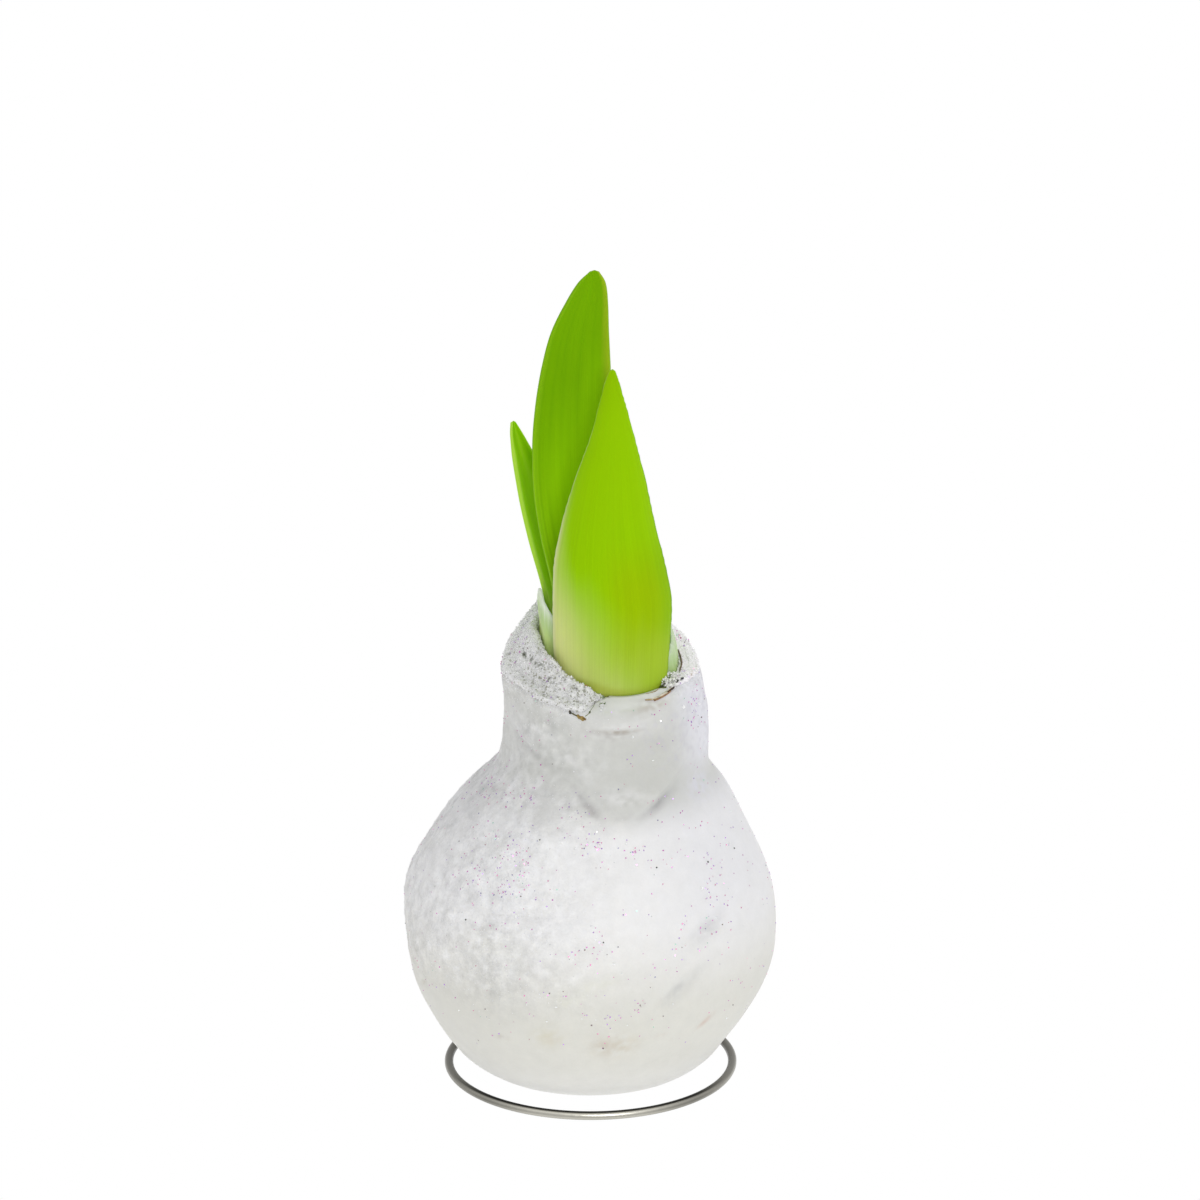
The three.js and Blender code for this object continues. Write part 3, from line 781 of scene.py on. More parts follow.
def wax_tint(outer, angle, level, flock, frosted):
    under_leaf = smoothstep(level, 95, 101) * near(angle, -85, 0.4, 0.8)
    side_frost = smoothstep(level, 76, 86) * near(angle, 4, 0.35, 1.1)
    right = near(angle, -10, 0.5, 1.3)
    low_snow = flock * (1 - 0.8 * smoothstep(level, 94, 100))
    mottle = smoothstep(noise(outer, 1.5, 6) + 0.4 * noise(outer, 4, 3), 0.05, 0.5)
    blotch = smoothstep(noise(outer, 2.6, 8) + 0.5 * noise(outer, 7, 2), 0.1, 0.55)
    hollow = np.clip(-noise(outer, 7, 5), 0, 1)
    lap = front_lap(angle) * smoothstep(level + 0.5 * noise(outer, 2.5), NECK_TOP - 0.6, NECK_TOP + 0.5)
    ragged = np.clip(0.75 + 1.1 * noise(outer, 1.5, 2), 0, 1)
    tint = layered(
        WAX_WHITE,
        # painted shade on the lower body, over the wax's own grey beige
        (LOW_WAX_AND_PAINTED_SHADE, falling(level, 26, 56)),
        (BASE_WAX, falling(level, 6, 16)),
        (NECK_WAX, smoothstep(level, 69, 77) * (1 - 0.35 * flock)),
        # painted light on the neck's front top under the leaf, against the leaf's shade
        (UNDER_LEAF_PAINTED_LIGHT, 0.35 * under_leaf),
        (LILAC_WHITE, 0.9 * side_frost),
        (LILAC_GREY, 0.35 * frosted * mottle),
        (RIGHT_WAX, 0.5 * right * smoothstep(level, 30, 60) * falling(level, 72, 80)),
        (SNOW_BLUISH_WHITE, 0.45 * low_snow * smoothstep(level, 30, 55)),
        (SNOW_WHITE, 0.55 * blotch * low_snow * smoothstep(level, 24, 40)),
        (HOLLOW_WAX, hollow * smoothstep(level, 20, 34) * (0.12 + 0.2 * flock)),
        # painted light against the front leaf's shade, over the lap's own lilac grey
        (LAP_WAX_AND_PAINTED_LIGHT, 0.8 * lap),
    )
    stains_and_painted_shading = ((colour, share * patch(angle, level, *place) * ragged) for *place, colour, share in STAINS_AND_PAINTED_SHADING)
    return layered(tint, *stains_and_painted_shading)


def build_wax():
    angles = np.arange(COLUMNS) / COLUMNS * 2 * np.pi
    outer, angle, level = wax_outside(angles)
    flock = flock_share(angle, level, outer)
    frosted = near(angle, -22, 0.5, 1.1) * smoothstep(level, 80, 86) * falling(level, 101, 104)
    outer = outer + normals_of(outer) * wax_relief(outer, angle, level, flock, frosted)[..., None]
    inside = wax_inside(angles)
    thing = skin("wax_skin", np.concatenate([outer, inside]), BASE_MIDDLE, BASE_MIDDLE + (0, 0, WAX))
    tint = wax_tint(outer, angle, level, flock, frosted)
    tint_skin(thing, np.concatenate([tint, np.broadcast_to(NECK_WAX, inside.shape)]))
    paint(thing, "flock", np.concatenate([flock, np.zeros(inside.shape[:2])]))
    put(thing, wax_material(), "wax", "wax_coat")
    return outer, angle, level, flock


# ---- grains, flakes and specks

PHI = (1 + 5**0.5) / 2
ICOSA = np.array([np.roll((x, y, 0), axis) for axis in range(3) for y in (PHI, -PHI) for x in (-1, 1)])
ICOSA = ICOSA / math.hypot(1, PHI)
ICOSA_FACES = np.array(
    [(0, 11, 5), (0, 5, 1), (0, 1, 7), (0, 7, 10), (0, 10, 11), (1, 5, 9), (5, 11, 4), (11, 10, 2)]
    + [(10, 7, 6), (7, 1, 8), (3, 9, 4), (3, 4, 2), (3, 2, 6), (3, 6, 8), (3, 8, 9), (4, 9, 5)]
    + [(2, 4, 11), (6, 2, 10), (8, 6, 7), (9, 8, 1)]
)
HEXAGON = np.array(
    [(math.cos(i * math.pi / 3), math.sin(i * math.pi / 3), z) for z in (-1, 1) for i in range(6)]
)
HEXAGON_FACES = [(5, 4, 3, 2, 1, 0), (6, 7, 8, 9, 10, 11)]
HEXAGON_FACES += [(i, (i + 1) % 6, (i + 1) % 6 + 6, i + 6) for i in range(6)]
CORNERS = 12  # of a grain, and of a flake
GRAIN_CORNERS = (0.72, 1.25)  # how far its corners lie from its middle, as shares of its size
GRAIN_STRETCH = (0.7, 1.2)
FLAKE_THICKNESS = 0.12
FLAKE_LIFT = 0.06


def scatter(rng, chance, count, points, sideways, lengthways, normals):
    """Random places on a skin, the normals there and which points they lie at.

    The chance is given by point, and so are the steps to the next points sideways and lengthways.
    """
    chance = chance.ravel()
    chosen = rng.choice(chance.size, count, p=chance / chance.sum())
    jitter = rng.random((2, count, 1)) - 0.5
    flat = [a.reshape(-1, 3)[chosen] for a in (points, sideways, lengthways, normals)]
    return flat[0] + flat[1] * jitter[0] + flat[2] * jitter[1], flat[3], chosen


def scatter_round(rng, points, weights, count):
    """Places on a skin that closes round its columns."""
    around = np.roll(points, -1, 1) - points
    up = np.gradient(points, axis=0)
    area = np.linalg.norm(np.cross(around, up), axis=-1)
    return scatter(rng, area * weights, count, points, around, up, normals_of(points))


def scatter_strip(rng, points, weights, count):
    """Places on a strip that doesn't close."""
    lengthways, across = np.gradient(points, axis=(0, 1))
    normals, area = strip_normals(points)
    return scatter(rng, area * weights, count, points, across, lengthways, normals)


def put_specks(name, points, faces, tint, material, slot):
    """One object of many specks, each of one colour."""
    thing = make_object(name, points.reshape(-1, 3), faces, smooth=False)
    paint_points(thing, "tint", np.repeat(tint, CORNERS, axis=0))
    put(thing, material, slot)


def grains(name, rng, places, sizes, tint, material, slot):
    """Small irregular crystals in one object."""
    count = len(places)
    spin = np.linalg.qr(rng.normal(size=(count, 3, 3)))[0]
    shape = ICOSA[None] * rng.uniform(*GRAIN_CORNERS, (count, CORNERS, 1))
    shape = shape * rng.uniform(*GRAIN_STRETCH, (count, 1, 3))
    shape = np.einsum("nij,nkj->nki", spin, shape) * sizes[:, None, None]
    mirrored = np.linalg.det(spin) < 0
    faces = ICOSA_FACES[None] + CORNERS * np.arange(count)[:, None, None]
    faces = np.where(mirrored[:, None, None], faces[..., ::-1], faces).reshape(-1, 3)
    put_specks(name, shape + places[:, None], faces.tolist(), tint, material, slot)


def flakes(name, rng, places, normals, sizes, tint, material, slot, tilt=0.35):
    """Tiny hexagonal glitter flakes lying nearly flat on a surface."""
    up = unit(normals + rng.normal(scale=tilt, size=normals.shape))
    side = unit(np.cross(up, rng.normal(size=up.shape)))
    axes = (side, np.cross(up, side), up)
    shape = HEXAGON[None] * np.array([1, 1, FLAKE_THICKNESS])
    shape = sum(shape[..., i : i + 1] * axis[:, None] for i, axis in enumerate(axes))
    points = shape * sizes[:, None, None] + (places + up * FLAKE_LIFT)[:, None]
    faces = [tuple(i + CORNERS * n for i in face) for n in range(len(places)) for face in HEXAGON_FACES]
    put_specks(name, points, faces, tint, material, slot)


# Where the glitter lies thickest: direction, level height, tilt, half length, half width.
GLITTER_DRIFTS = (
    (-93, 71, -10, 6, 2.6),
    (-83, 69, -20, 5, 2.6),
    (-72, 68, -15, 4, 1.8),
    (-98, 75, -20, 3.5, 1.2),
    (-91, 46, 0, 3.5, 1.6),
    (-95, 45.5, 20, 2, 0.9),
    (-62, 46, 80, 2.4, 1.1),
    (-74, 33, 70, 3.2, 0.9),
    (-95, 30, 30, 1.8, 1),
    (-82, 29.8, 0, 3.4, 0.8),
    (-123, 26, 10, 1.6, 0.8),
    (-70, 40, 40, 4, 2),
    (-62, 66, 10, 4, 2),
    (-87, 48, 10, 5, 1.6),
    (-96, 45.5, -15, 4, 1.4),
    (-62, 46.5, 80, 3, 1.2),
    (-73, 35, 75, 4.5, 1),
    (-82, 29.5, 0, 4.5, 1),
    (-92, 29.5, 60, 1.6, 1),
    (-114, 52, 10, 3, 1.4),
    (-60, 103, 0, 5, 0.9),
    (-58, 93, 20, 4, 1.2),
    (-79, 83, 60, 3, 1.5),
    (-136, 76, 10, 6, 2),
    (-125, 62, 20, 12, 9),
    (-165, 76, 0, 7, 5),
    (-45, 55, 60, 12, 6),
    (-20, 96, 80, 7, 6),
    (-150, 30, 0, 3, 1.5),
)

# The flakes' colours, and each one's share of the flakes on the wax and on the crust.
GLITTER = np.array(
    [(0.80, 0.28, 0.70), (0.60, 0.36, 0.82), (0.92, 0.34, 0.62), (0.26, 0.19, 0.20)]
    + [(0.38, 0.36, 0.60), (0.95, 0.97, 0.97), (0.45, 0.85, 0.68)]
)
GLITTER_WHITE = 5
GLITTER_SHARES = (0.34, 0.24, 0.20, 0.06, 0.05, 0.08, 0.03)
CRUST_GLITTER_SHARES = (0.2, 0.2, 0.14, 0.06, 0.1, 0.24, 0.06)

# Single crumbs: direction, level height and half the crumb's length.
WHITE_CRUMBS = (
    (-103.2, 69.2, 0.42),
    (-96.8, 68.2, 0.36),
    (-88.2, 69, 0.3),
    (-77, 68.8, 0.32),
    (-83.2, 66.8, 0.26),
    (-50.3, 57.2, 0.45),
    (-113.5, 52.8, 0.45),
    (-82.5, 43.8, 0.4),
    (-131, 67.8, 0.34),
    (-13.8, 68.5, 0.3),
    (-72.5, 98.5, 0.36),
    (-34.5, 101.8, 0.42),
    (-17, 98.8, 0.42),
)
DARK_CRUMBS = (
    (-112.2, 69.2, 0.27),
    (-43.2, 61.8, 0.34),
    (-26.5, 61.8, 0.22),
    (-131.8, 50.2, 0.24),
    (-66.2, 63.5, 0.18),
    (-84.8, 20.5, 0.24),
    (-86.2, 48.9, 0.18),
)
CRUMB_RADIUS = 40  # turns a direction into millimetres
CRUMB_WHITE = (0.99, 1.0, 1.0)
CRUMB_DARK = (0.03, 0.03, 0.025)

SNOW_COUNT = 5600
SNOW_SIZES = (0.07, 0.2)
SNOW_SUNK = 0.06
FLAKE_COUNT = 2900
FLAKE_SIZES = (0.10, 0.2)
CLUMP_COUNT = 800
CLUMP_RADIUS = 1.1
SINGLE_FLAKES = 0.3  # the share of flakes kept outside the clumps


def snow_on_wax(rng, outer, level, flock, frost):
    weights = flock**1.5 * smoothstep(level, 22, 34) * (1 - 0.75 * smoothstep(level, 78, 84))
    weights = weights + 1.6 * flock * smoothstep(level, 98, 101)
    weights[level > NECK_TOP + 1.0] = 0
    places, normals, _ = scatter_round(rng, outer, weights, SNOW_COUNT)
    sizes = rng.uniform(*SNOW_SIZES, len(places))
    tone = rng.uniform(0.78, 0.98, (len(places), 1)) * np.array([1, 1, 1.02])
    grains("snow_on_wax", rng, places - normals * SNOW_SUNK, sizes, tone, frost, "frost")


def glitter_on_wax(rng, outer, angle, level, material):
    """Glitter in clumps along its drifts, with single flakes between them."""
    drifts = sum(patch(angle, level, *drift) for drift in GLITTER_DRIFTS)
    weights = (0.13 + drifts + 0.4 * np.clip(noise(outer, 6, 9), 0, 1)) * smoothstep(level, 14, 26)
    weights[level > NECK_TOP + 0.5] = 0
    clumps, _, _ = scatter_round(rng, outer, weights, CLUMP_COUNT)
    places, normals, _ = scatter_round(rng, outer, weights, FLAKE_COUNT)
    distance = np.linalg.norm(places[:, None] - clumps[None], axis=-1).min(1)
    keep = (distance < CLUMP_RADIUS) | (rng.random(len(distance)) < SINGLE_FLAKES)
    places = places[keep]
    normals = normals[keep]
    chosen = rng.choice(len(GLITTER), len(places), p=GLITTER_SHARES)
    sizes = rng.uniform(*FLAKE_SIZES, len(places)) * np.where(chosen == GLITTER_WHITE, 1.2, 1)
    flakes("glitter", rng, places, normals, sizes, GLITTER[chosen], material, "wax")


def crumbs_on_wax(rng, outer, angle, level, frost):
    nearest = []
    for direction, height, _ in WHITE_CRUMBS + DARK_CRUMBS:
        sideways = turn(np.radians(direction), angle) * CRUMB_RADIUS
        nearest.append(int(np.argmin(sideways**2 + (level - height) ** 2)))
    places = outer.reshape(-1, 3)[nearest]
    sizes = np.array([size for _, _, size in WHITE_CRUMBS + DARK_CRUMBS])
    tint = [CRUMB_WHITE] * len(WHITE_CRUMBS) + [CRUMB_DARK] * len(DARK_CRUMBS)
    grains("crumbs", rng, places, sizes, tint, frost, "wax")


def scatter_on_wax(outer, angle, level, flock, frost, glitter):
    rng = np.random.default_rng(5)
    snow_on_wax(rng, outer, level, flock, frost)
    glitter_on_wax(rng, outer, angle, level, glitter)
    crumbs_on_wax(rng, outer, angle, level, frost)


# ---- crust

FROST_FROM = math.radians(-36)
FROST_TO = math.radians(272)
CRUST_STEPS = 700
CRUST_ACROSS = 54
CRUST_UNDER = 8
CRUST_SUNK = 0.35  # how deep its underside lies in the wax
CRUST_GRAIN_COUNT = 7800
CRUST_GRAIN_SIZES = (0.1, 0.28)
CRUST_FLAKE_COUNT = 190
CRUST_FLAKE_SIZES = (0.12, 0.24)
OLIVE = (0.07, 0.085, 0.035)
BROWN = (0.30, 0.19, 0.10)
DULL_GREY = (0.30, 0.29, 0.27)
CRUST_PAINTED_SHADE = (0.74, 0.74, 0.74)
CRUST_DIRT = (0.64, 0.64, 0.58)
CRUST_BRIGHT = (0.995, 0.965, 1.0)
DUSTY_GRAIN = (0.52, 0.52, 0.44)

# How high its inner edge stands over the cut: direction in degrees, millimetres.
CRUST_CREST = (
    (-36, 0.4), (-15, 0.3), (15, 0.3), (40, 0.8), (100, 1.4), (150, 3.2), (160, 3.2), (180, 4.5),
    (190, 4.5), (200, 4.4), (215, 5.1), (226, 5.1), (240, 3.4), (255, 2.4), (262, 2), (266, 1.2),
    (272, 0.6),
)

# Where scales of the bulb show between the grains: direction, distance past the start of the rim's bend,
# tilt, half length, half width, colour and share.
CRUST_MARKS = (
    (193, -3.9, 0, 1.5, 0.45, OLIVE, 1),
    (200, -4.4, 0, 1.7, 0.7, OLIVE, 1),
    (208, -4.1, 0, 1.5, 0.5, OLIVE, 0.9),
    (217, -4, 0, 1.3, 0.45, OLIVE, 0.8),
    (187, -3.9, 0, 0.9, 0.3, OLIVE, 0.6),
    (223, -4.9, 0, 0.9, 0.4, (0.25, 0.25, 0.2), 0.6),
    (229, -2.9, 50, 0.9, 0.5, OLIVE, 0.8),
    (233, -2.9, 50, 0.6, 0.4, OLIVE, 0.9),
    (226, -2.6, 0, 0.6, 0.4, BEIGE, 0.7),
    (214, 2, -30, 1.1, 0.5, BEIGE, 0.7),
    (225, 1.3, 0, 1.6, 0.4, DULL_GREY, 0.5),
    (234, 0.5, 0, 2, 0.4, DULL_GREY, 0.4),
    (250, -3.5, 0, 1, 0.5, OLIVE, 0.45),
    (258, -0.6, 0, 1.8, 0.5, (0.34, 0.34, 0.33), 0.5),
    (-10, 0.8, 0, 1.3, 0.8, BEIGE, 0.6),
    (-15, 0.6, 60, 0.7, 0.35, BROWN, 0.8),
    (-4, 1.3, 50, 0.8, 0.3, BROWN, 0.8),
    (3, 1, 30, 0.7, 0.3, BROWN, 0.55),
    (-22, -0.6, 20, 0.9, 0.4, OLIVE, 0.7),
    (-30, -0.9, 0, 0.6, 0.35, OLIVE, 0.8),
)


def frost_lumps(angle, across):
    wave = np.sin(13 * angle + 2 * across) * np.sin(7 * angle - 3 * across + 1)
    return 0.5 + 0.5 * np.sin(29 * angle + 4 * across + 2 * wave) * np.cos(5 * across + 17 * angle)


def strip_normals(strip):
    """Outward unit normals of a (rows, columns, 3) strip, and the area at each point."""
    normal = np.cross(np.gradient(strip, axis=1), np.gradient(strip, axis=0))
    area = np.linalg.norm(normal, axis=-1)
    return normal / np.maximum(area, 1e-9)[..., None], area


def crust_mark(angle, past, direction, middle, tilt, long, wide):
    """A long soft patch on the crust."""
    around = turn(np.radians(direction), angle) * NECK_RADIUS * 0.85
    return long_patch(around, middle - past, tilt, long, wide)


def box_corner(bend, side, top):
    """How proud of the wax's round rim a squarer corner stands."""
    corner = (np.cos(bend) / (RIM_ROUND + side)) ** 5 + (np.sin(bend) / (RIM_ROUND + top)) ** 5
    return corner**-0.2 - RIM_ROUND


def crust_right(angle):
    """Its right side, which is flatter and brighter."""
    return near(angle, 12, 0.6, 1.1)


def crust_left(angle):
    return towards(angle, 172, 0.55)


def crust_dirt(angle, past):
    """Where its grains are grey with dust."""
    return towards(angle, 236, 0.7) * falling(past, 1.2, 2.4)


def crust_form():
    """The crust's strip over the wax's rim, with what its looks go by, as grids of one shape."""
    share = np.linspace(0, 1, CRUST_STEPS + 1)[:, None]
    across = np.linspace(0, 1, CRUST_ACROSS)[None]
    angle = lerp(FROST_FROM, FROST_TO, share) + 0 * across
    ends = np.minimum(0.1 + np.sqrt(14 * share), 0.3 + np.sqrt(14 * (1 - share)))
    ends = np.minimum(1, ends)
    start = well_edge(angle) - GAP - rim_radius(angle) + RIM_ROUND
    finish = np.maximum(along(CRUST_EDGE, angle) + 0.35 * noise_over(angle * 12), start + 0.4)
    past = lerp(start, finish, across)
    base = rim_point(angle, past)
    out, _ = strip_normals(base)

    wall = np.sqrt(1 - (1 - np.clip((past - start) / 1.2, 0, 1)) ** 2)
    fall = np.clip((past - start - 0.8) / (-1.3 - start), 0, 1)
    inwards = 1 - (fall + smoothstep(fall, 0, 1)) / 2
    rise = 0.55 + 0.3 * frost_lumps(angle, across) - 0.55 * towards(angle, 184, 0.3)
    flat = lerp(rise, along(CRUST_CREST, angle), inwards)
    fade = lerp(1.2, 2.2, towards(angle, 185, 0.5))
    edge = smoothstep(past, finish - fade, finish)
    bend = math.pi / 2 - np.clip(past, 0, RIM_BEND) / RIM_ROUND
    thick = np.where(past < 0, flat, box_corner(bend, 0.05, rise)) * (1 - edge)
    marks = np.zeros_like(past)
    for *place, colour, depth in CRUST_MARKS:
        if colour is not BEIGE:
            marks = np.maximum(marks, depth * crust_mark(angle, past, *place))
    lumps = 0.6 * (cauliflower(base, 3.0, 4) - 0.25) + 0.45 * (cauliflower(base, 1.5, 6) - 0.25)
    lumps = lumps + 0.22 * (cauliflower(base, 0.8, 9) - 0.25)
    relief = lumps * wall * (0.3 + 0.5 * inwards) * (1 - 0.6 * crust_right(angle))
    relief = relief + 0.12 * noise(base, 1.0, 2)
    sunk = 0.35 * towards(angle, 184, 0.35) * smoothstep(past, -0.5, 1.5)
    proud = ends * (wall * (thick - 0.6 * marks) + relief) - 0.3 * edge - sunk
    return base + out * proud[..., None], base - out * CRUST_SUNK, angle, past, edge, marks, lumps


def crust_tint(top, angle, past, edge, lumps):
    right = crust_right(angle)
    left = crust_left(angle)
    pits = smoothstep(-lumps + 0.3 * noise(top, 0.9, 1), -0.05, 0.3)
    specks = smoothstep(noise(top, 0.55, 5) + 0.6 * noise(top, 1.6, 12), 0.05, 0.35)
    broken = smoothstep(noise(top, 0.9, 3) + 0.5 * pits, -0.25, 0.2)
    marks = (
        (colour, depth * crust_mark(angle, past, *place) * broken) for *place, colour, depth in CRUST_MARKS
    )
    return layered(
        SNOW_WHITE,
        # painted shade in the pits between the lumps
        (CRUST_PAINTED_SHADE, 0.45 * pits * (1 - 0.9 * right) * (1 - 0.8 * left)),
        (CRUST_BRIGHT, 0.95 * right),
        # painted shade where the crust thins out at its edge
        (CRUST_PAINTED_SHADE, 0.9 * edge * (1 - right) * (1 - 0.7 * left)),
        (CRUST_DIRT, crust_dirt(angle, past) * (0.1 + 0.4 * specks)),
        *marks,
    )


def scatter_on_crust(top, tint, angle, past, edge, marks, frost, glitter):
    rng = np.random.default_rng(8)
    right = crust_right(angle)
    outline = towards(angle, 184, 0.35) * smoothstep(past, -0.8, 0.8)
    weights = (1 - 0.8 * smoothstep(marks, 0.3, 0.7)) * (1.2 - 0.5 * edge) * (1 - 0.65 * right)
    weights = weights * (1 - 0.4 * outline)
    places, outwards, chosen = scatter_strip(rng, top, weights, CRUST_GRAIN_COUNT)
    each = (len(places), 1)
    sizes = rng.uniform(*CRUST_GRAIN_SIZES, len(places)) * (1 - 0.3 * edge.ravel()[chosen])
    tone = rng.uniform(0.55, 1.0, each) ** 0.5 * np.array([1, 1, 1.01])
    tone = lerp(tone, 1.0, 0.8 * np.maximum(right, crust_left(angle)).ravel()[chosen][:, None])
    dusty = rng.random(each) < 0.2 * crust_dirt(angle, past).ravel()[chosen][:, None]
    tone = tone * np.where(dusty, DUSTY_GRAIN, 1)
    on_dark = tint.reshape(-1, 3)[chosen].mean(1, keepdims=True) < 0.5
    tone = tone * np.where(on_dark, 0.6, 1)
    places = places + outwards * rng.uniform(-0.1, 0.18, each)
    grains("snow_grains", rng, places, sizes, tone, frost, "frost")

    places, outwards, _ = scatter_strip(rng, top, weights * (0.35 + 1.6 * right), CRUST_FLAKE_COUNT)
    colours = GLITTER[rng.choice(len(GLITTER), len(places), p=CRUST_GLITTER_SHARES)]
    sizes = rng.uniform(*CRUST_FLAKE_SIZES, len(places))
    flakes("crust_glitter", rng, places + outwards * 0.3, outwards, sizes, colours, glitter, "frost", 0.6)


def build_crust(frost, glitter):
    top, under, angle, past, edge, marks, lumps = crust_form()
    tint = crust_tint(top, angle, past, edge, lumps)
    back = np.linspace(CRUST_ACROSS - 1, 0, CRUST_UNDER).astype(int)
    thing = skin("snow_crust", np.concatenate([under[:, back], top], 1))
    tint_skin(thing, np.concatenate([tint[:, back], tint], 1))
    put(thing, frost, "frost", "frost_crust")
    scatter_on_crust(top, tint, angle, past, edge, marks, frost, glitter)


# ---- leaves

LEAF_ROWS = 230
LEAF_COLUMNS = 31
LEAF_FOOT = 91  # height of its first row
LEAF_TIP = np.array([0, 0, 0.4])  # from the middle of its last row

# Stations of each leaf: height, x, y, half its width, the half-angle of its channel and the direction
# that its outer face looks in.
LEAF_FRONT = (
    (84, 4.8, -7.6, 12.6, 60, -90),
    (98, 4.9, -7.4, 12.8, 60, -90),
    (110, 5, -7.4, 13.3, 60, -90),
    (121, 5.2, -7.6, 13.6, 60, -90),
    (131, 4.5, -7.8, 12.5, 58, -90),
    (141, 4.3, -7.4, 10.3, 55, -90),
    (151, 4.7, -6.6, 7.7, 52, -90),
    (160, 5.2, -5.6, 4.9, 50, -90),
    (168, 5.2, -4.7, 2.8, 46, -90),
    (173, 5.1, -4.1, 1.5, 40, -90),
    (175.6, 5.2, -3.7, 0.5, 30, -90),
)
LEAF_TALL = (
    (84, 5, -4.2, 9.6, 48, 90),
    (100, 3.6, -3.6, 9.4, 42, 90),
    (113, 1.4, -2.4, 8.9, 33, 90),
    (124, -0.5, -1, 8.8, 27, 90),
    (134, -2.3, 0.4, 9.4, 24, 90),
    (145, -3.6, 1.8, 9.7, 25, 90),
    (156, -4.1, 2.8, 9.4, 26, 90),
    (166, -3.9, 3.4, 8.8, 27, 90),
    (175, -3.3, 3.6, 7.9, 28, 90),
    (183, -2.4, 3.4, 6.7, 29, 90),
    (190, -0.8, 3, 4.9, 30, 90),
    (195, 0.4, 2.6, 3.1, 28, 90),
    (197.8, 1, 2.4, 1, 20, 90),
)
LEAF_SMALL = (
    (84, 5, 3, 12, 62, 90),
    (100, 4.2, 3.2, 11.6, 60, 95),
    (113, -0.4, 4.8, 9.7, 55, 112),
    (122, -4.9, 7.3, 7.9, 50, 124),
    (131, -8.4, 9, 7.1, 47, 128),
    (139, -11.2, 9.4, 6, 45, 128),
    (146, -13.6, 9.4, 4.6, 43, 128),
    (152, -15.8, 9.2, 3, 40, 128),
    (157, -17.4, 9, 1.7, 35, 128),
    (160, -18.2, 8.9, 0.6, 30, 128),
)

YELLOW_GREEN = (0.29, 0.56, 0.001)
MID_GREEN = (0.17, 0.395, 0.001)
LIT_GREEN = (0.37, 0.75, 0.002)
SHADE_GREEN = (0.07, 0.22, 0.002)
PALE_BASE = (0.535, 0.60, 0.17)


def curve_through(stations, shares):
    """A Catmull-Rom curve through the stations, evenly in their count."""
    knots = np.array(stations, float)
    knots = np.vstack([2 * knots[0] - knots[1], knots, 2 * knots[-1] - knots[-2]])
    place = np.asarray(shares) * (len(stations) - 1)
    cell = np.minimum(place.astype(int), len(stations) - 2)
    t = (place - cell)[:, None]
    p0, p1, p2, p3 = (knots[cell + i] for i in range(4))
    slope_1 = 0.5 * (p2 - p0)
    slope_2 = 0.5 * (p3 - p1)
    cubic = 2 * p1 - 2 * p2 + slope_1 + slope_2
    square = -3 * p1 + 3 * p2 - 2 * slope_1 - slope_2
    return cubic * t**3 + square * t**2 + slope_1 * t + p1


def build_leaf(name, stations, material, tint_at, thickness, margin, ragged=0.0):
    """A leaf bent to a channel: its outer face and its inner face are rings from foot to tip.

    Across the blade, u runs from -1 to 1, from margin to margin.
    """
    shares = np.linspace(0, 1, LEAF_ROWS + 1)
    height, x, y, half, curl, faces = curve_through(stations, shares).T[..., None]
    shares = shares[:, None]
    bend = np.radians(curl)
    look = np.radians(faces)
    radius = half / np.sin(bend)
    u = np.sin(np.linspace(-1, 1, LEAF_COLUMNS)[None] * math.pi / 2)
    towards_tip = lerp(1, 0.55, shares) * np.minimum(1, 0.25 + half / 4)
    blade = towards_tip * lerp(margin, thickness, np.sqrt(1 - u**4))
    blade = np.maximum(LEAF_EDGE, blade)
    edge_wave = ragged * np.sin(shares * 160 + 3 * np.sin(shares * 47)) * np.abs(u) ** 8
    sweep = u * bend * (1 + edge_wave / np.maximum(half, 2))
    sides = []
    for side in (1, -1):
        reach = radius + side * blade / 2
        out = reach * np.cos(sweep) - radius * np.cos(bend)
        across = reach * np.sin(sweep)
        px = x + out * np.cos(look) - across * np.sin(look)
        py = y + out * np.sin(look) + across * np.cos(look)
        pz = np.maximum(height + 0 * px, cut_plane(px, py) - WELL_DEPTH + GAP)
        sides.append(np.stack([px, py, pz], -1))
    rings = np.concatenate([sides[0], sides[1][:, ::-1]], 1)
    rings = rings[int(np.argmax(height > LEAF_FOOT)) :]
    wave = 0.12 * noise(rings * np.array([1, 1, 0.25]), 4.5, 5)
    rings = rings + normals_of(rings) * wave[..., None]
    thing = skin(name, rings, None, rings[-1].mean(0) + LEAF_TIP)

    u = np.concatenate([u, u[:, ::-1]], 1) + 0 * rings[..., 0]
    inner_face = np.repeat([0, 1], LEAF_COLUMNS) + 0 * u
    tint_skin(thing, tint_at(rings, u, inner_face))
    uv = np.stack([u / 2 + 0.5, rings[..., 2] / 100], -1).reshape(-1, 2)
    loops = np.empty(len(thing.data.loops), int)
    thing.data.loops.foreach_get("vertex_index", loops)
    layer = thing.data.uv_layers.new(name="blade")
    layer.data.foreach_set("uv", with_ends(uv)[loops].astype(np.float32).ravel())
    put(thing, material, "leaf", name)


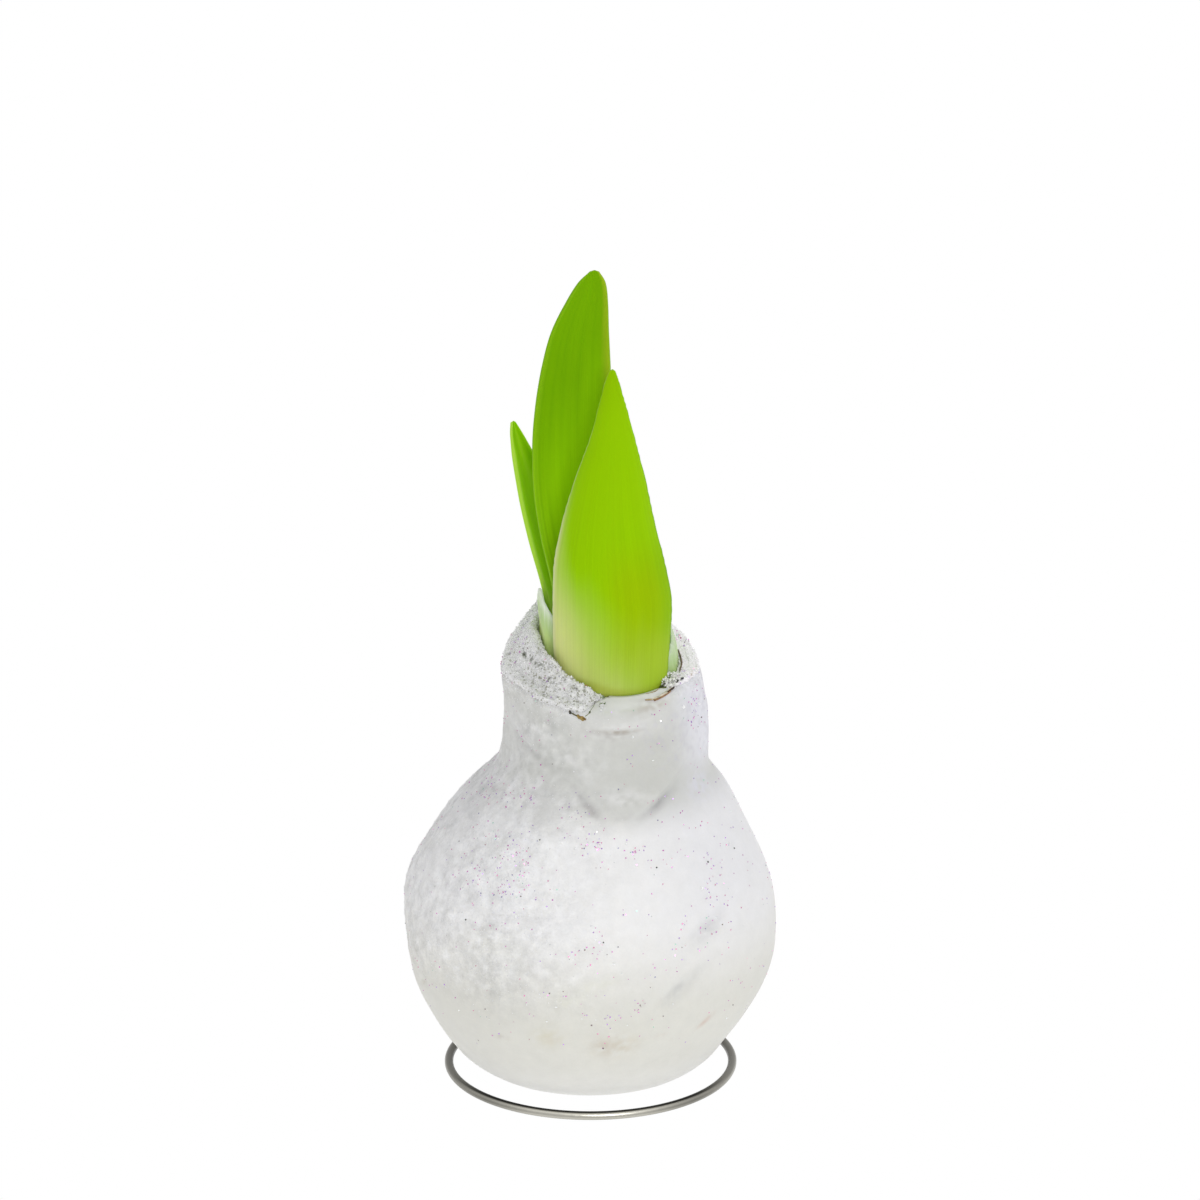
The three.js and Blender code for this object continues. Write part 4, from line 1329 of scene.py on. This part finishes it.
def front_tint(points, u, inner_face):
    """Pale at its foot and its left margin, olive low on the right, yellow green above. Painted light low
    on the left against the crust's shade, and painted shade along its foot at the cut.
    """
    z = points[..., 2]
    streaks = noise_over(u * 9, z / 40)
    height = z + 2.5 * streaks + lerp(-2, 9, smoothstep(u, -0.6, 0.3))
    olive = smoothstep(u, -0.3, 0.3) * falling(z, 124, 140) * smoothstep(z, 100, 112)
    low_left_painted_light = smoothstep(-u, 0.25, 0.9) * falling(height, 108, 129)
    low_right = smoothstep(u, 0.0, 0.7) * falling(z, 106, 118)
    left_band = smoothstep(-u, lerp(0.45, 0.75, smoothstep(z, 124, 142)), 0.95) * falling(z, 132, 152)
    left_edge = smoothstep(-u, 0.86, 0.985) * falling(z, 132, 150)
    left_margin = smoothstep(-u, 0.93, 0.985) * (1 - 0.4 * smoothstep(z, 150, 180))
    above_cut = z - cut_plane(points[..., 0], points[..., 1])
    foot = falling(above_cut - 1.2 * hump(u + 0.3, 0.3), 0.6, 2.2)
    return layered(
        PALE_BASE,
        (YELLOW_GREEN, smoothstep(height, 97, 131)),
        ((0.23, 0.48, 0.001), 0.7 * smoothstep(u, 0.2, 0.95) * falling(z, 128, 140)),
        ((0.27, 0.49, 0.001), 0.5 * smoothstep(z, 160, 176)),
        ((0.33, 0.46, 0.001), 0.6 * olive * (1 - 0.6 * smoothstep(u, 0.6, 0.9))),
        # painted light low on the left against the crust wall's shade, over the pale base
        ((0.74, 0.74, 0.34), 0.68 * low_left_painted_light),
        ((0.37, 0.53, 0.03), 0.85 * low_right),
        ((0.62, 0.70, 0.22), 0.42 * left_band),
        ((0.74, 0.70, 0.42), 0.7 * left_edge),
        ((0.62, 0.74, 0.34), 0.6 * left_margin),
        (SHADE_GREEN, 0.55 * smoothstep(u, 0.93, 1.0)),
        # painted shade along its foot at the cut, olive tinted
        ((0.36, 0.40, 0.02), 0.45 * foot * (1 - 0.6 * smoothstep(u, 0.0, 0.5))),
        (MID_GREEN, 0.4 * inner_face),
    )


def tall_tint(points, u, _):
    """Lit behind the front leaf, darker above, with paler margins."""
    z = points[..., 2]
    streaks = noise_over(u * 12, z / 50, 4)
    behind_front = (1 - 0.7 * smoothstep(u, 0.1, 0.9)) * falling(z, 135, 175)
    return layered(
        (0.25, 0.50, 0.004),
        (MID_GREEN, smoothstep(z + 3 * streaks, 128, 158)),
        (LIT_GREEN, 0.85 * behind_front),
        (LIT_GREEN, 0.3 * smoothstep(-u, 0, 0.6) * falling(z, 168, 184)),
        ((0.30, 0.52, 0.02), 0.25 * smoothstep(u, 0.84, 0.97)),
        ((0.40, 0.47, 0.02), 0.5 * smoothstep(-u, 0.72, 0.95) * smoothstep(z, 150, 165)),
        ((0.13, 0.34, 0.001), 0.35 * smoothstep(streaks, 0.0, 0.5)),
    )


def small_tint(points, u, inner_face):
    """Bright, with a paler keel and margins and painted shade in its channel."""
    z = points[..., 2]
    streaks = noise_over(u * 9, z / 40, 6)
    off_middle = np.abs(u)
    channel = smoothstep(off_middle, 0.1, 0.5) * falling(off_middle, 0.6, 0.95) * inner_face
    return layered(
        PALE_BASE,
        ((0.29, 0.61, 0.001), smoothstep(z + 3 * streaks, 104, 124)),
        ((0.34, 0.62, 0.02), 0.6 * hump(u, 0.14) * inner_face),
        # painted shade in the channel
        ((0.19, 0.45, 0.001), 0.5 * channel),
        ((0.48, 0.70, 0.10), 0.6 * smoothstep(off_middle, 0.88, 0.98)),
    )


def build_leaves():
    bright = leaf_material("leaf_bright", 0.46)
    green = leaf_material("leaf_green", 0.44)
    build_leaf("leaf_front", LEAF_FRONT, bright, front_tint, thickness=2.5, margin=1.1, ragged=0.06)
    build_leaf("leaf_tall", LEAF_TALL, green, tall_tint, thickness=2.3, margin=1.0)
    build_leaf("leaf_small", LEAF_SMALL, green, small_tint, thickness=2.0, margin=0.9)


# ---- sheath and torn scales

SHEATH_FROM = math.radians(224)
SHEATH_TO = math.radians(-38)
SHEATH_COLUMNS = 320
SHEATH_ROWS = 34  # on each face
SHEATH_CROWN_ROWS = 6
SHEATH_CROWN = 0.8
SHEATH_WHITE = (0.93, 0.96, 0.92)
SHEATH_PALE = (0.92, 0.96, 0.88)

# The sheath's colours by the distance below its top; the deeper ones are lighter, painted light against
# the
# # shade in the narrow gap round the leaves.
SHEATH_TINTS_AND_PAINTED_LIGHT = (
    (0, (0.74, 0.83, 0.66)),
    (0.4, (0.62, 0.76, 0.5)),
    (1.2, (0.5, 0.65, 0.35)),
    (2.3, (0.48, 0.64, 0.3)),
    (4, (0.46, 0.62, 0.24)),
    (6, (0.5, 0.67, 0.22)),
    (8, (0.6, 0.75, 0.22)),
    (12, (0.58, 0.7, 0.2)),
)


def build_sheath():
    """It wraps the leaves from behind, and tucks in behind both margins of the front leaf."""
    share = np.linspace(0, 1, SHEATH_COLUMNS)[:, None]
    angle = lerp(SHEATH_FROM, SHEATH_TO, share)
    wall = np.minimum(1, 0.5 + 6 * np.minimum(share, 1 - share))
    tuck = 4.2 * smoothstep(angle, np.radians(196), SHEATH_FROM)
    tuck = tuck + 4 * falling(angle, SHEATH_TO, np.radians(-12))
    outer = well_edge(angle) - GAP - 0.1 - tuck
    top = lerp(5.6, 15.8, towards(angle, 188, 0.5))
    top = top - 2.2 * falling(angle, SHEATH_TO, 0)
    rag = 0.35 * noise_over(angle * 9)
    face = np.linspace(0, 1, SHEATH_ROWS)
    over_crown = np.linspace(0.1, 0.9, SHEATH_CROWN_ROWS)
    levels = np.concatenate([face, np.ones(SHEATH_CROWN_ROWS), np.linspace(1, 0, SHEATH_ROWS)])[None]
    inwards = np.concatenate([0 * face, over_crown, 0 * face + 1])[None]
    crown = SHEATH_CROWN * np.sqrt(1 - (2 * inwards - 1) ** 2) * (levels == 1)
    above = lerp(GAP - WELL_DEPTH, top - SHEATH_CROWN + rag, levels) + crown
    leant = 1.1 * hump(angle, 0.7) * (np.maximum(0, above) / top) ** 2
    flare = 0.9 * towards(angle, 188, 0.6) * smoothstep(above, 4, 11)
    radius = outer - wall * inwards - leant + flare
    x = NECK_X + radius * np.cos(angle)
    y = radius * np.sin(angle)
    rings = np.stack([x, y, cut_plane(x, y) + above], -1)
    fibres = noise_over(angle * 60 + 0 * x, above / 14)
    rings = rings + normals_of(rings) * (0.06 * fibres)[..., None]

    depth = top - above
    tint = layered(
        # colours with painted light low in the gap round the leaves
        graded(SHEATH_TINTS_AND_PAINTED_LIGHT, depth + 0.5 * fibres),
        (SHEATH_WHITE, 0.35 * smoothstep(fibres, 0.1, 0.6) * falling(depth, 2, 6)),
        (SHEATH_PALE, 0.35 * towards(angle, 180, 0.4) * falling(depth, 1, 4)),
        ((0.44, 0.60, 0.28), 0.4 * towards(angle, 200, 0.5) * smoothstep(depth, 1, 4)),
        ((0.42, 0.60, 0.26), 0.45 * hump(angle, 0.5)),
    )
    thing = skin("inner_sheath_skin", rings)
    tint_skin(thing, tint)
    put(thing, sheath_material(), "sheath", "inner_sheath")


SCALE_ROWS = 24
SCALE_SIDES = 8
SCALE_HALF_THICK = 0.25
LOW_SCALE = ((13, -2.7), (7, -2.85), (0, -2.9), (-6, -2.65), (-12, -2.4), (-16, -1.9))

# Torn edges of the dry bulb scales in the wax: places along each by direction and distance past the start
# of the rim's bend, how far it stands proud, its half width, and its colour.
TORN_SCALES = (
    (((-108.5, 1.9), (-107, 2.1)), 0.15, 0.42, (0.03, 0.03, 0.015)),
    (((-107.5, 2), (-104.8, 2.25), (-101.5, 2.45)), 0.08, 0.2, (0.1, 0.09, 0.03)),
    (((-103.4, 2.3), (-101, 2.55), (-98.8, 2.6)), 0.12, 0.62, (0.3, 0.21, 0.06)),
    (((-100, 2.45), (-98.8, 2.5), (-98, 2.6)), 0.15, 0.32, (0.2, 0.12, 0.02)),
    (((-98.6, 2), (-97, 1.5), (-95.6, 0.8)), 0.06, 0.17, (0.2, 0.22, 0.1)),
    (((-96.6, 1), (-95.6, 0.9)), 0.08, 0.3, (0.1, 0.13, 0.05)),
    (((-96, 0.8), (-94.6, -0.6), (-93.8, -2.2)), 0.05, 0.13, (0.2, 0.23, 0.1)),
    (((-90.5, -2.2), (-89, -2.6), (-87.2, -2.55)), 0.1, 0.3, (0.2, 0.26, 0.12)),
    (((-88, -2.5), (-86.6, -2.8), (-86.2, -3.3)), 0.1, 0.25, (0.12, 0.19, 0.08)),
    (((-90, -4.6), (-88, -5), (-86.5, -5.2)), 0.15, 0.35, (0.24, 0.31, 0.16)),
    (((-87.5, -5.1), (-86.6, -5)), 0.15, 0.28, (0.1, 0.15, 0.06)),
    (((-84.5, -5.1), (-83.3, -5.3)), 0.15, 0.25, (0.12, 0.1, 0.08)),
    (((-58, -1.6), (-54.8, -1.3), (-51.8, -0.9), (-49.5, -0.9)), 0.12, 0.2, (0.42, 0.3, 0.14)),
    (((-54, -1.1), (-47, -1.05), (-42, -1), (-38, -0.95), (-33, -0.6)), 0.24, 0.34, (0.66, 0.59, 0.47)),
    (((-53, -0.6), (-47, -0.65), (-42, -0.6), (-37, -0.5)), 0.14, 0.13, (0.3, 0.17, 0.08)),
    (((-40.5, -0.8), (-38.5, -0.75), (-36, -0.65), (-33, -0.4)), 0.32, 0.22, (0.05, 0.025, 0.012)),
    (((-54, -3.4), (-50, -3.2), (-45, -3), (-41.5, -3.2)), 0.15, 0.16, (0.32, 0.19, 0.1)),
    (((-40, -2.9), (-37.5, -2.3), (-35, -1.9)), 0.12, 0.3, (0.1, 0.12, 0.02)),
    (((-39, -3.4), (-37, -3), (-35.5, -3.2)), 0.12, 0.25, (0.05, 0.06, 0.015)),
    (((-30, -0.8), (-27.5, -0.6), (-25, -0.7)), 0.7, 0.3, (0.06, 0.06, 0.05)),
    (((-37, -2.6), (-35.5, -2.6)), 0.9, 0.3, (0.08, 0.08, 0.06)),
    (((-23.5, -0.2), (-22, 0)), 0.7, 0.3, (0.05, 0.05, 0.06)),
    (LOW_SCALE, 0.5, 0.2, (0.14, 0.1, 0.05)),
)


def scale_rings(path, proud, half_wide):
    """A torn edge: a thin uneven band over the wax along its path."""
    directions, past = curve_through(path, np.linspace(0, 1, SCALE_ROWS)).T
    middle = rim_point(np.radians(directions), past)
    across = unit(middle - rim_point(np.radians(directions), past - 0.1))
    up = unit(np.cross(across, np.gradient(middle, axis=0)))
    up = up * np.sign(up[:, 2] + 0.01)[:, None]
    taper = np.sin(np.linspace(0.2, math.pi - 0.2, SCALE_ROWS))[:, None] ** 0.5
    wide = taper * half_wide * (1 + 0.5 * noise(middle, 0.7, 4))[:, None]
    section = []
    for bend in np.linspace(0, 2 * math.pi, SCALE_SIDES, endpoint=False):
        lift = math.sin(bend) * SCALE_HALF_THICK + proud + 0.1
        section.append(middle + across * math.cos(bend) * wide + up * lift)
    return np.stack(section, 1)


def build_scales():
    points = []
    faces = []
    tints = []
    for path, proud, half_wide, colour in TORN_SCALES:
        start = sum(len(before) for before in points)
        faces += [tuple(i + start for i in face) for face in skin_faces(SCALE_ROWS, SCALE_SIDES)]
        points.append(skin_points(scale_rings(path, proud, half_wide)))
        tone = 1 + 0.5 * noise(points[-1], 0.8, 2)
        tints.append(np.clip(np.array(colour)[None] * tone[:, None], 0, 1))
    thing = make_object("torn_scales", np.vstack(points), faces)
    paint_points(thing, "tint", np.vstack(tints))
    put(thing, scale_material(), "bulb_scales")


def build_snow_crumbs(frost):
    """Loose snow at the crust's front right end."""
    rng = np.random.default_rng(21)
    count = 90
    directions = np.radians(rng.uniform(-36, -20, count))
    places = rim_point(directions, rng.uniform(-3.4, -0.3, count))
    places[:, 2] += rng.uniform(0.1, 1.3, count)
    sizes = rng.uniform(0.22, 0.5, count)
    tone = rng.uniform(0.7, 1.0, (count, 1)) * np.array([1, 1, 0.98])
    grains("snow_crumbs", rng, places, sizes, tone, frost, "frost")


# ---- wire

WIRE_SECTION = 36
WIRE_TINT = np.array([1, 0.97, 0.86])
CAP_LENGTHS = (0.25, 0.3)  # how far past its path's ends a narrower ring and the closing point lie
CAP_SHARE = 0.75  # that ring's radius, as a share of the wire's

# The wire's painted reflection: its greys round its section, by degrees from its outer side up over its
# top. The front is bright under a dark line.
WIRE_FRONT_PAINTED_REFLECTION = (
    (-90, 0.08), (-62, 0.16), (-45, 0.46), (-15, 0.56), (2, 0.36), (14, 0.46), (28, 0.92), (45, 0.84),
    (55, 0.06), (75, 0.02), (104, 0.02), (120, 0.12), (180, 0.2), (270, 0.08),
)
# The painted reflection at its sides, by the same degrees.
WIRE_SIDES_PAINTED_REFLECTION = (
    (-90, 0.10), (-60, 0.17), (-20, 0.33), (20, 0.33), (90, 0.22), (140, 0.14), (180, 0.11), (270, 0.10),
)


def round_axis(degrees, radius, height):
    """Points by their direction, their distance from the middle and their height."""
    angle = np.radians(degrees)
    return np.stack([radius * np.cos(angle), radius * np.sin(angle), height + 0 * angle], -1)


def wire_path():
    """Nearly a whole ring, then an arm that runs in under the bulb and rises as a coil."""
    ring = round_axis(np.arange(98, 431, 1.0), RING_RADIUS, WIRE_RADIUS)
    arm_height = WIRE_RADIUS + 0.2
    arm = [
        (437, RING_RADIUS - 0.8, WIRE_RADIUS),
        (442, RING_RADIUS - 3.6, WIRE_RADIUS),
        (444, RING_RADIUS - 9, WIRE_RADIUS + 0.1),
        (445, RING_RADIUS - 16, arm_height),
        (449, RING_RADIUS - 22, arm_height),
        (464, COIL_RADIUS + 1.6, arm_height),
    ]
    for degrees in range(0, 360 * COIL_TURNS + 1, 20):
        wound = degrees / 360
        rise = COIL_PITCH * wound * float(smoothstep(wound, -0.1, 0.25))
        arm.append((490 + degrees, COIL_RADIUS, arm_height + rise))
    arm = round_axis(*np.array(arm).T)
    arm = curve_through(np.vstack([ring[-8:-7], ring[-1:], arm]), np.linspace(0, 1, 500))
    start = int(np.argmin(np.linalg.norm(arm - ring[-1], axis=1)))
    return np.vstack([ring, arm[start + 1 :]])


def painted_wire_reflection(rings, bends):
    """Painted reflection of what the wire mirrors: bright bands and a dark line in front, duller at its
    sides.
    """
    section = (np.degrees(bends) + 90) % 360 - 90
    from_front = np.abs(turn(-math.pi / 2, np.arctan2(rings[..., 1], rings[..., 0])))
    shine = 0.5 + 0.5 * falling(from_front, 0.3, 0.8)
    sides = np.interp(section, *np.array(WIRE_SIDES_PAINTED_REFLECTION).T) * (1 + 0.004 * rings[..., 0])
    front = np.interp(section, *np.array(WIRE_FRONT_PAINTED_REFLECTION).T) * shine
    return lerp(sides, front, falling(from_front, 0.75, 1.3))


def build_wire():
    path = wire_path()
    forward = unit(np.gradient(path, axis=0))
    side = unit(np.cross(forward, [0, 0, 1.0]))
    up = np.cross(side, forward)
    bends = np.linspace(0, 2 * math.pi, WIRE_SECTION, endpoint=False)[None, :, None]
    rings = path[:, None] + WIRE_RADIUS * (np.cos(bends) * side[:, None] + np.sin(bends) * up[:, None])
    narrow = []
    caps = []
    for i, sign in ((0, -1), (-1, 1)):
        ring_ahead, cap_ahead = (sign * length for length in CAP_LENGTHS)
        narrow.append(path[i] + forward[i] * ring_ahead + CAP_SHARE * (rings[i] - path[i]))
        caps.append(path[i] + forward[i] * cap_ahead)
    rings = np.concatenate([narrow[:1], rings, narrow[1:]])
    thing = skin("nickel_wire", rings[:, ::-1], *caps)
    # the painted reflection, laid into the wire's colour
    grey = painted_wire_reflection(rings, bends[..., 0])
    tint_skin(thing, (grey[..., None] * WIRE_TINT)[:, ::-1])
    put(thing, wire_material(), "wire", "wire_stand")


# ---- stage, light and camera

# In pixels, radians and metres.
PHOTO_SIZE = 1200
FOCAL_PIXELS = 4202
PITCH = math.radians(16.42)
DISTANCE = 1.0
TARGET = (0.0023, 0.0, 0.1187)
FLOOR_HALF = 6.0
WORLD_LIGHT = 0.62
LIGHT_AIM = (0, 0, 0.08)
WHITE = (1, 1, 1, 1)


def white_emitter(name):
    material = bpy.data.materials.new(name)
    material.use_nodes = True
    nodes = material.node_tree.nodes
    nodes.clear()
    light = nodes.new("ShaderNodeEmission")
    light.inputs["Color"].default_value = WHITE
    light.inputs["Strength"].default_value = 1.0
    out = nodes.new("ShaderNodeOutputMaterial")
    material.node_tree.links.new(light.outputs["Emission"], out.inputs["Surface"])
    return material


def area_light(name, place, size, power):
    data = bpy.data.lights.new(name, "AREA")
    data.shape = "DISK"
    data.size = size
    data.energy = power
    thing = bpy.data.objects.new(name, data)
    bpy.context.scene.collection.objects.link(thing)
    thing.location = place
    away = np.array(place) - np.array(LIGHT_AIM)
    flat = math.hypot(away[0], away[1])
    thing.rotation_euler = (math.atan2(flat, away[2]), 0, math.atan2(away[1], away[0]) + math.pi / 2)


def build_stage():
    corners = [(x * FLOOR_HALF, y * FLOOR_HALF, 0) for x, y in ((-1, -1), (1, -1), (1, 1), (-1, 1))]
    floor = make_object("floor", np.array(corners) / MM, [(0, 1, 2, 3)])
    floor.data.materials.append(white_emitter("white_floor"))

    world = bpy.data.worlds.new("studio")
    world.use_nodes = True
    background = world.node_tree.nodes["Background"]
    background.inputs["Color"].default_value = WHITE
    background.inputs["Strength"].default_value = WORLD_LIGHT
    bpy.context.scene.world = world
    area_light("key", (0.25, -1.1, 0.4), size=0.6, power=3.5)
    area_light("top", (0.35, 0.2, 0.85), size=0.5, power=1.5)


def place_camera():
    """As the photo's: fitted to the object's outlines."""
    camera = bpy.data.cameras.new("camera")
    camera.sensor_fit = "HORIZONTAL"
    camera.angle = 2 * math.atan(PHOTO_SIZE / 2 / FOCAL_PIXELS)
    holder = bpy.data.objects.new("camera", camera)
    bpy.context.scene.collection.objects.link(holder)
    holder.location = (
        TARGET[0],
        TARGET[1] - DISTANCE * math.cos(PITCH),
        TARGET[2] + DISTANCE * math.sin(PITCH),
    )
    holder.rotation_euler = (math.pi / 2 - PITCH, 0, 0)
    bpy.context.scene.camera = holder
    bpy.context.scene.view_settings.view_transform = "Standard"


def dress_bulb():
    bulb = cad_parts["bulb"]
    bulb.data.materials.clear()
    bulb.data.materials.append(bulb_material())


def main():
    outer, angle, level, flock = build_wax()
    frost = frost_material()
    glitter = flake_material()
    scatter_on_wax(outer, angle, level, flock, frost, glitter)
    build_crust(frost, glitter)
    build_leaves()
    build_sheath()
    build_scales()
    build_snow_crumbs(frost)
    build_wire()
    dress_bulb()
    build_stage()
    place_camera()


main()
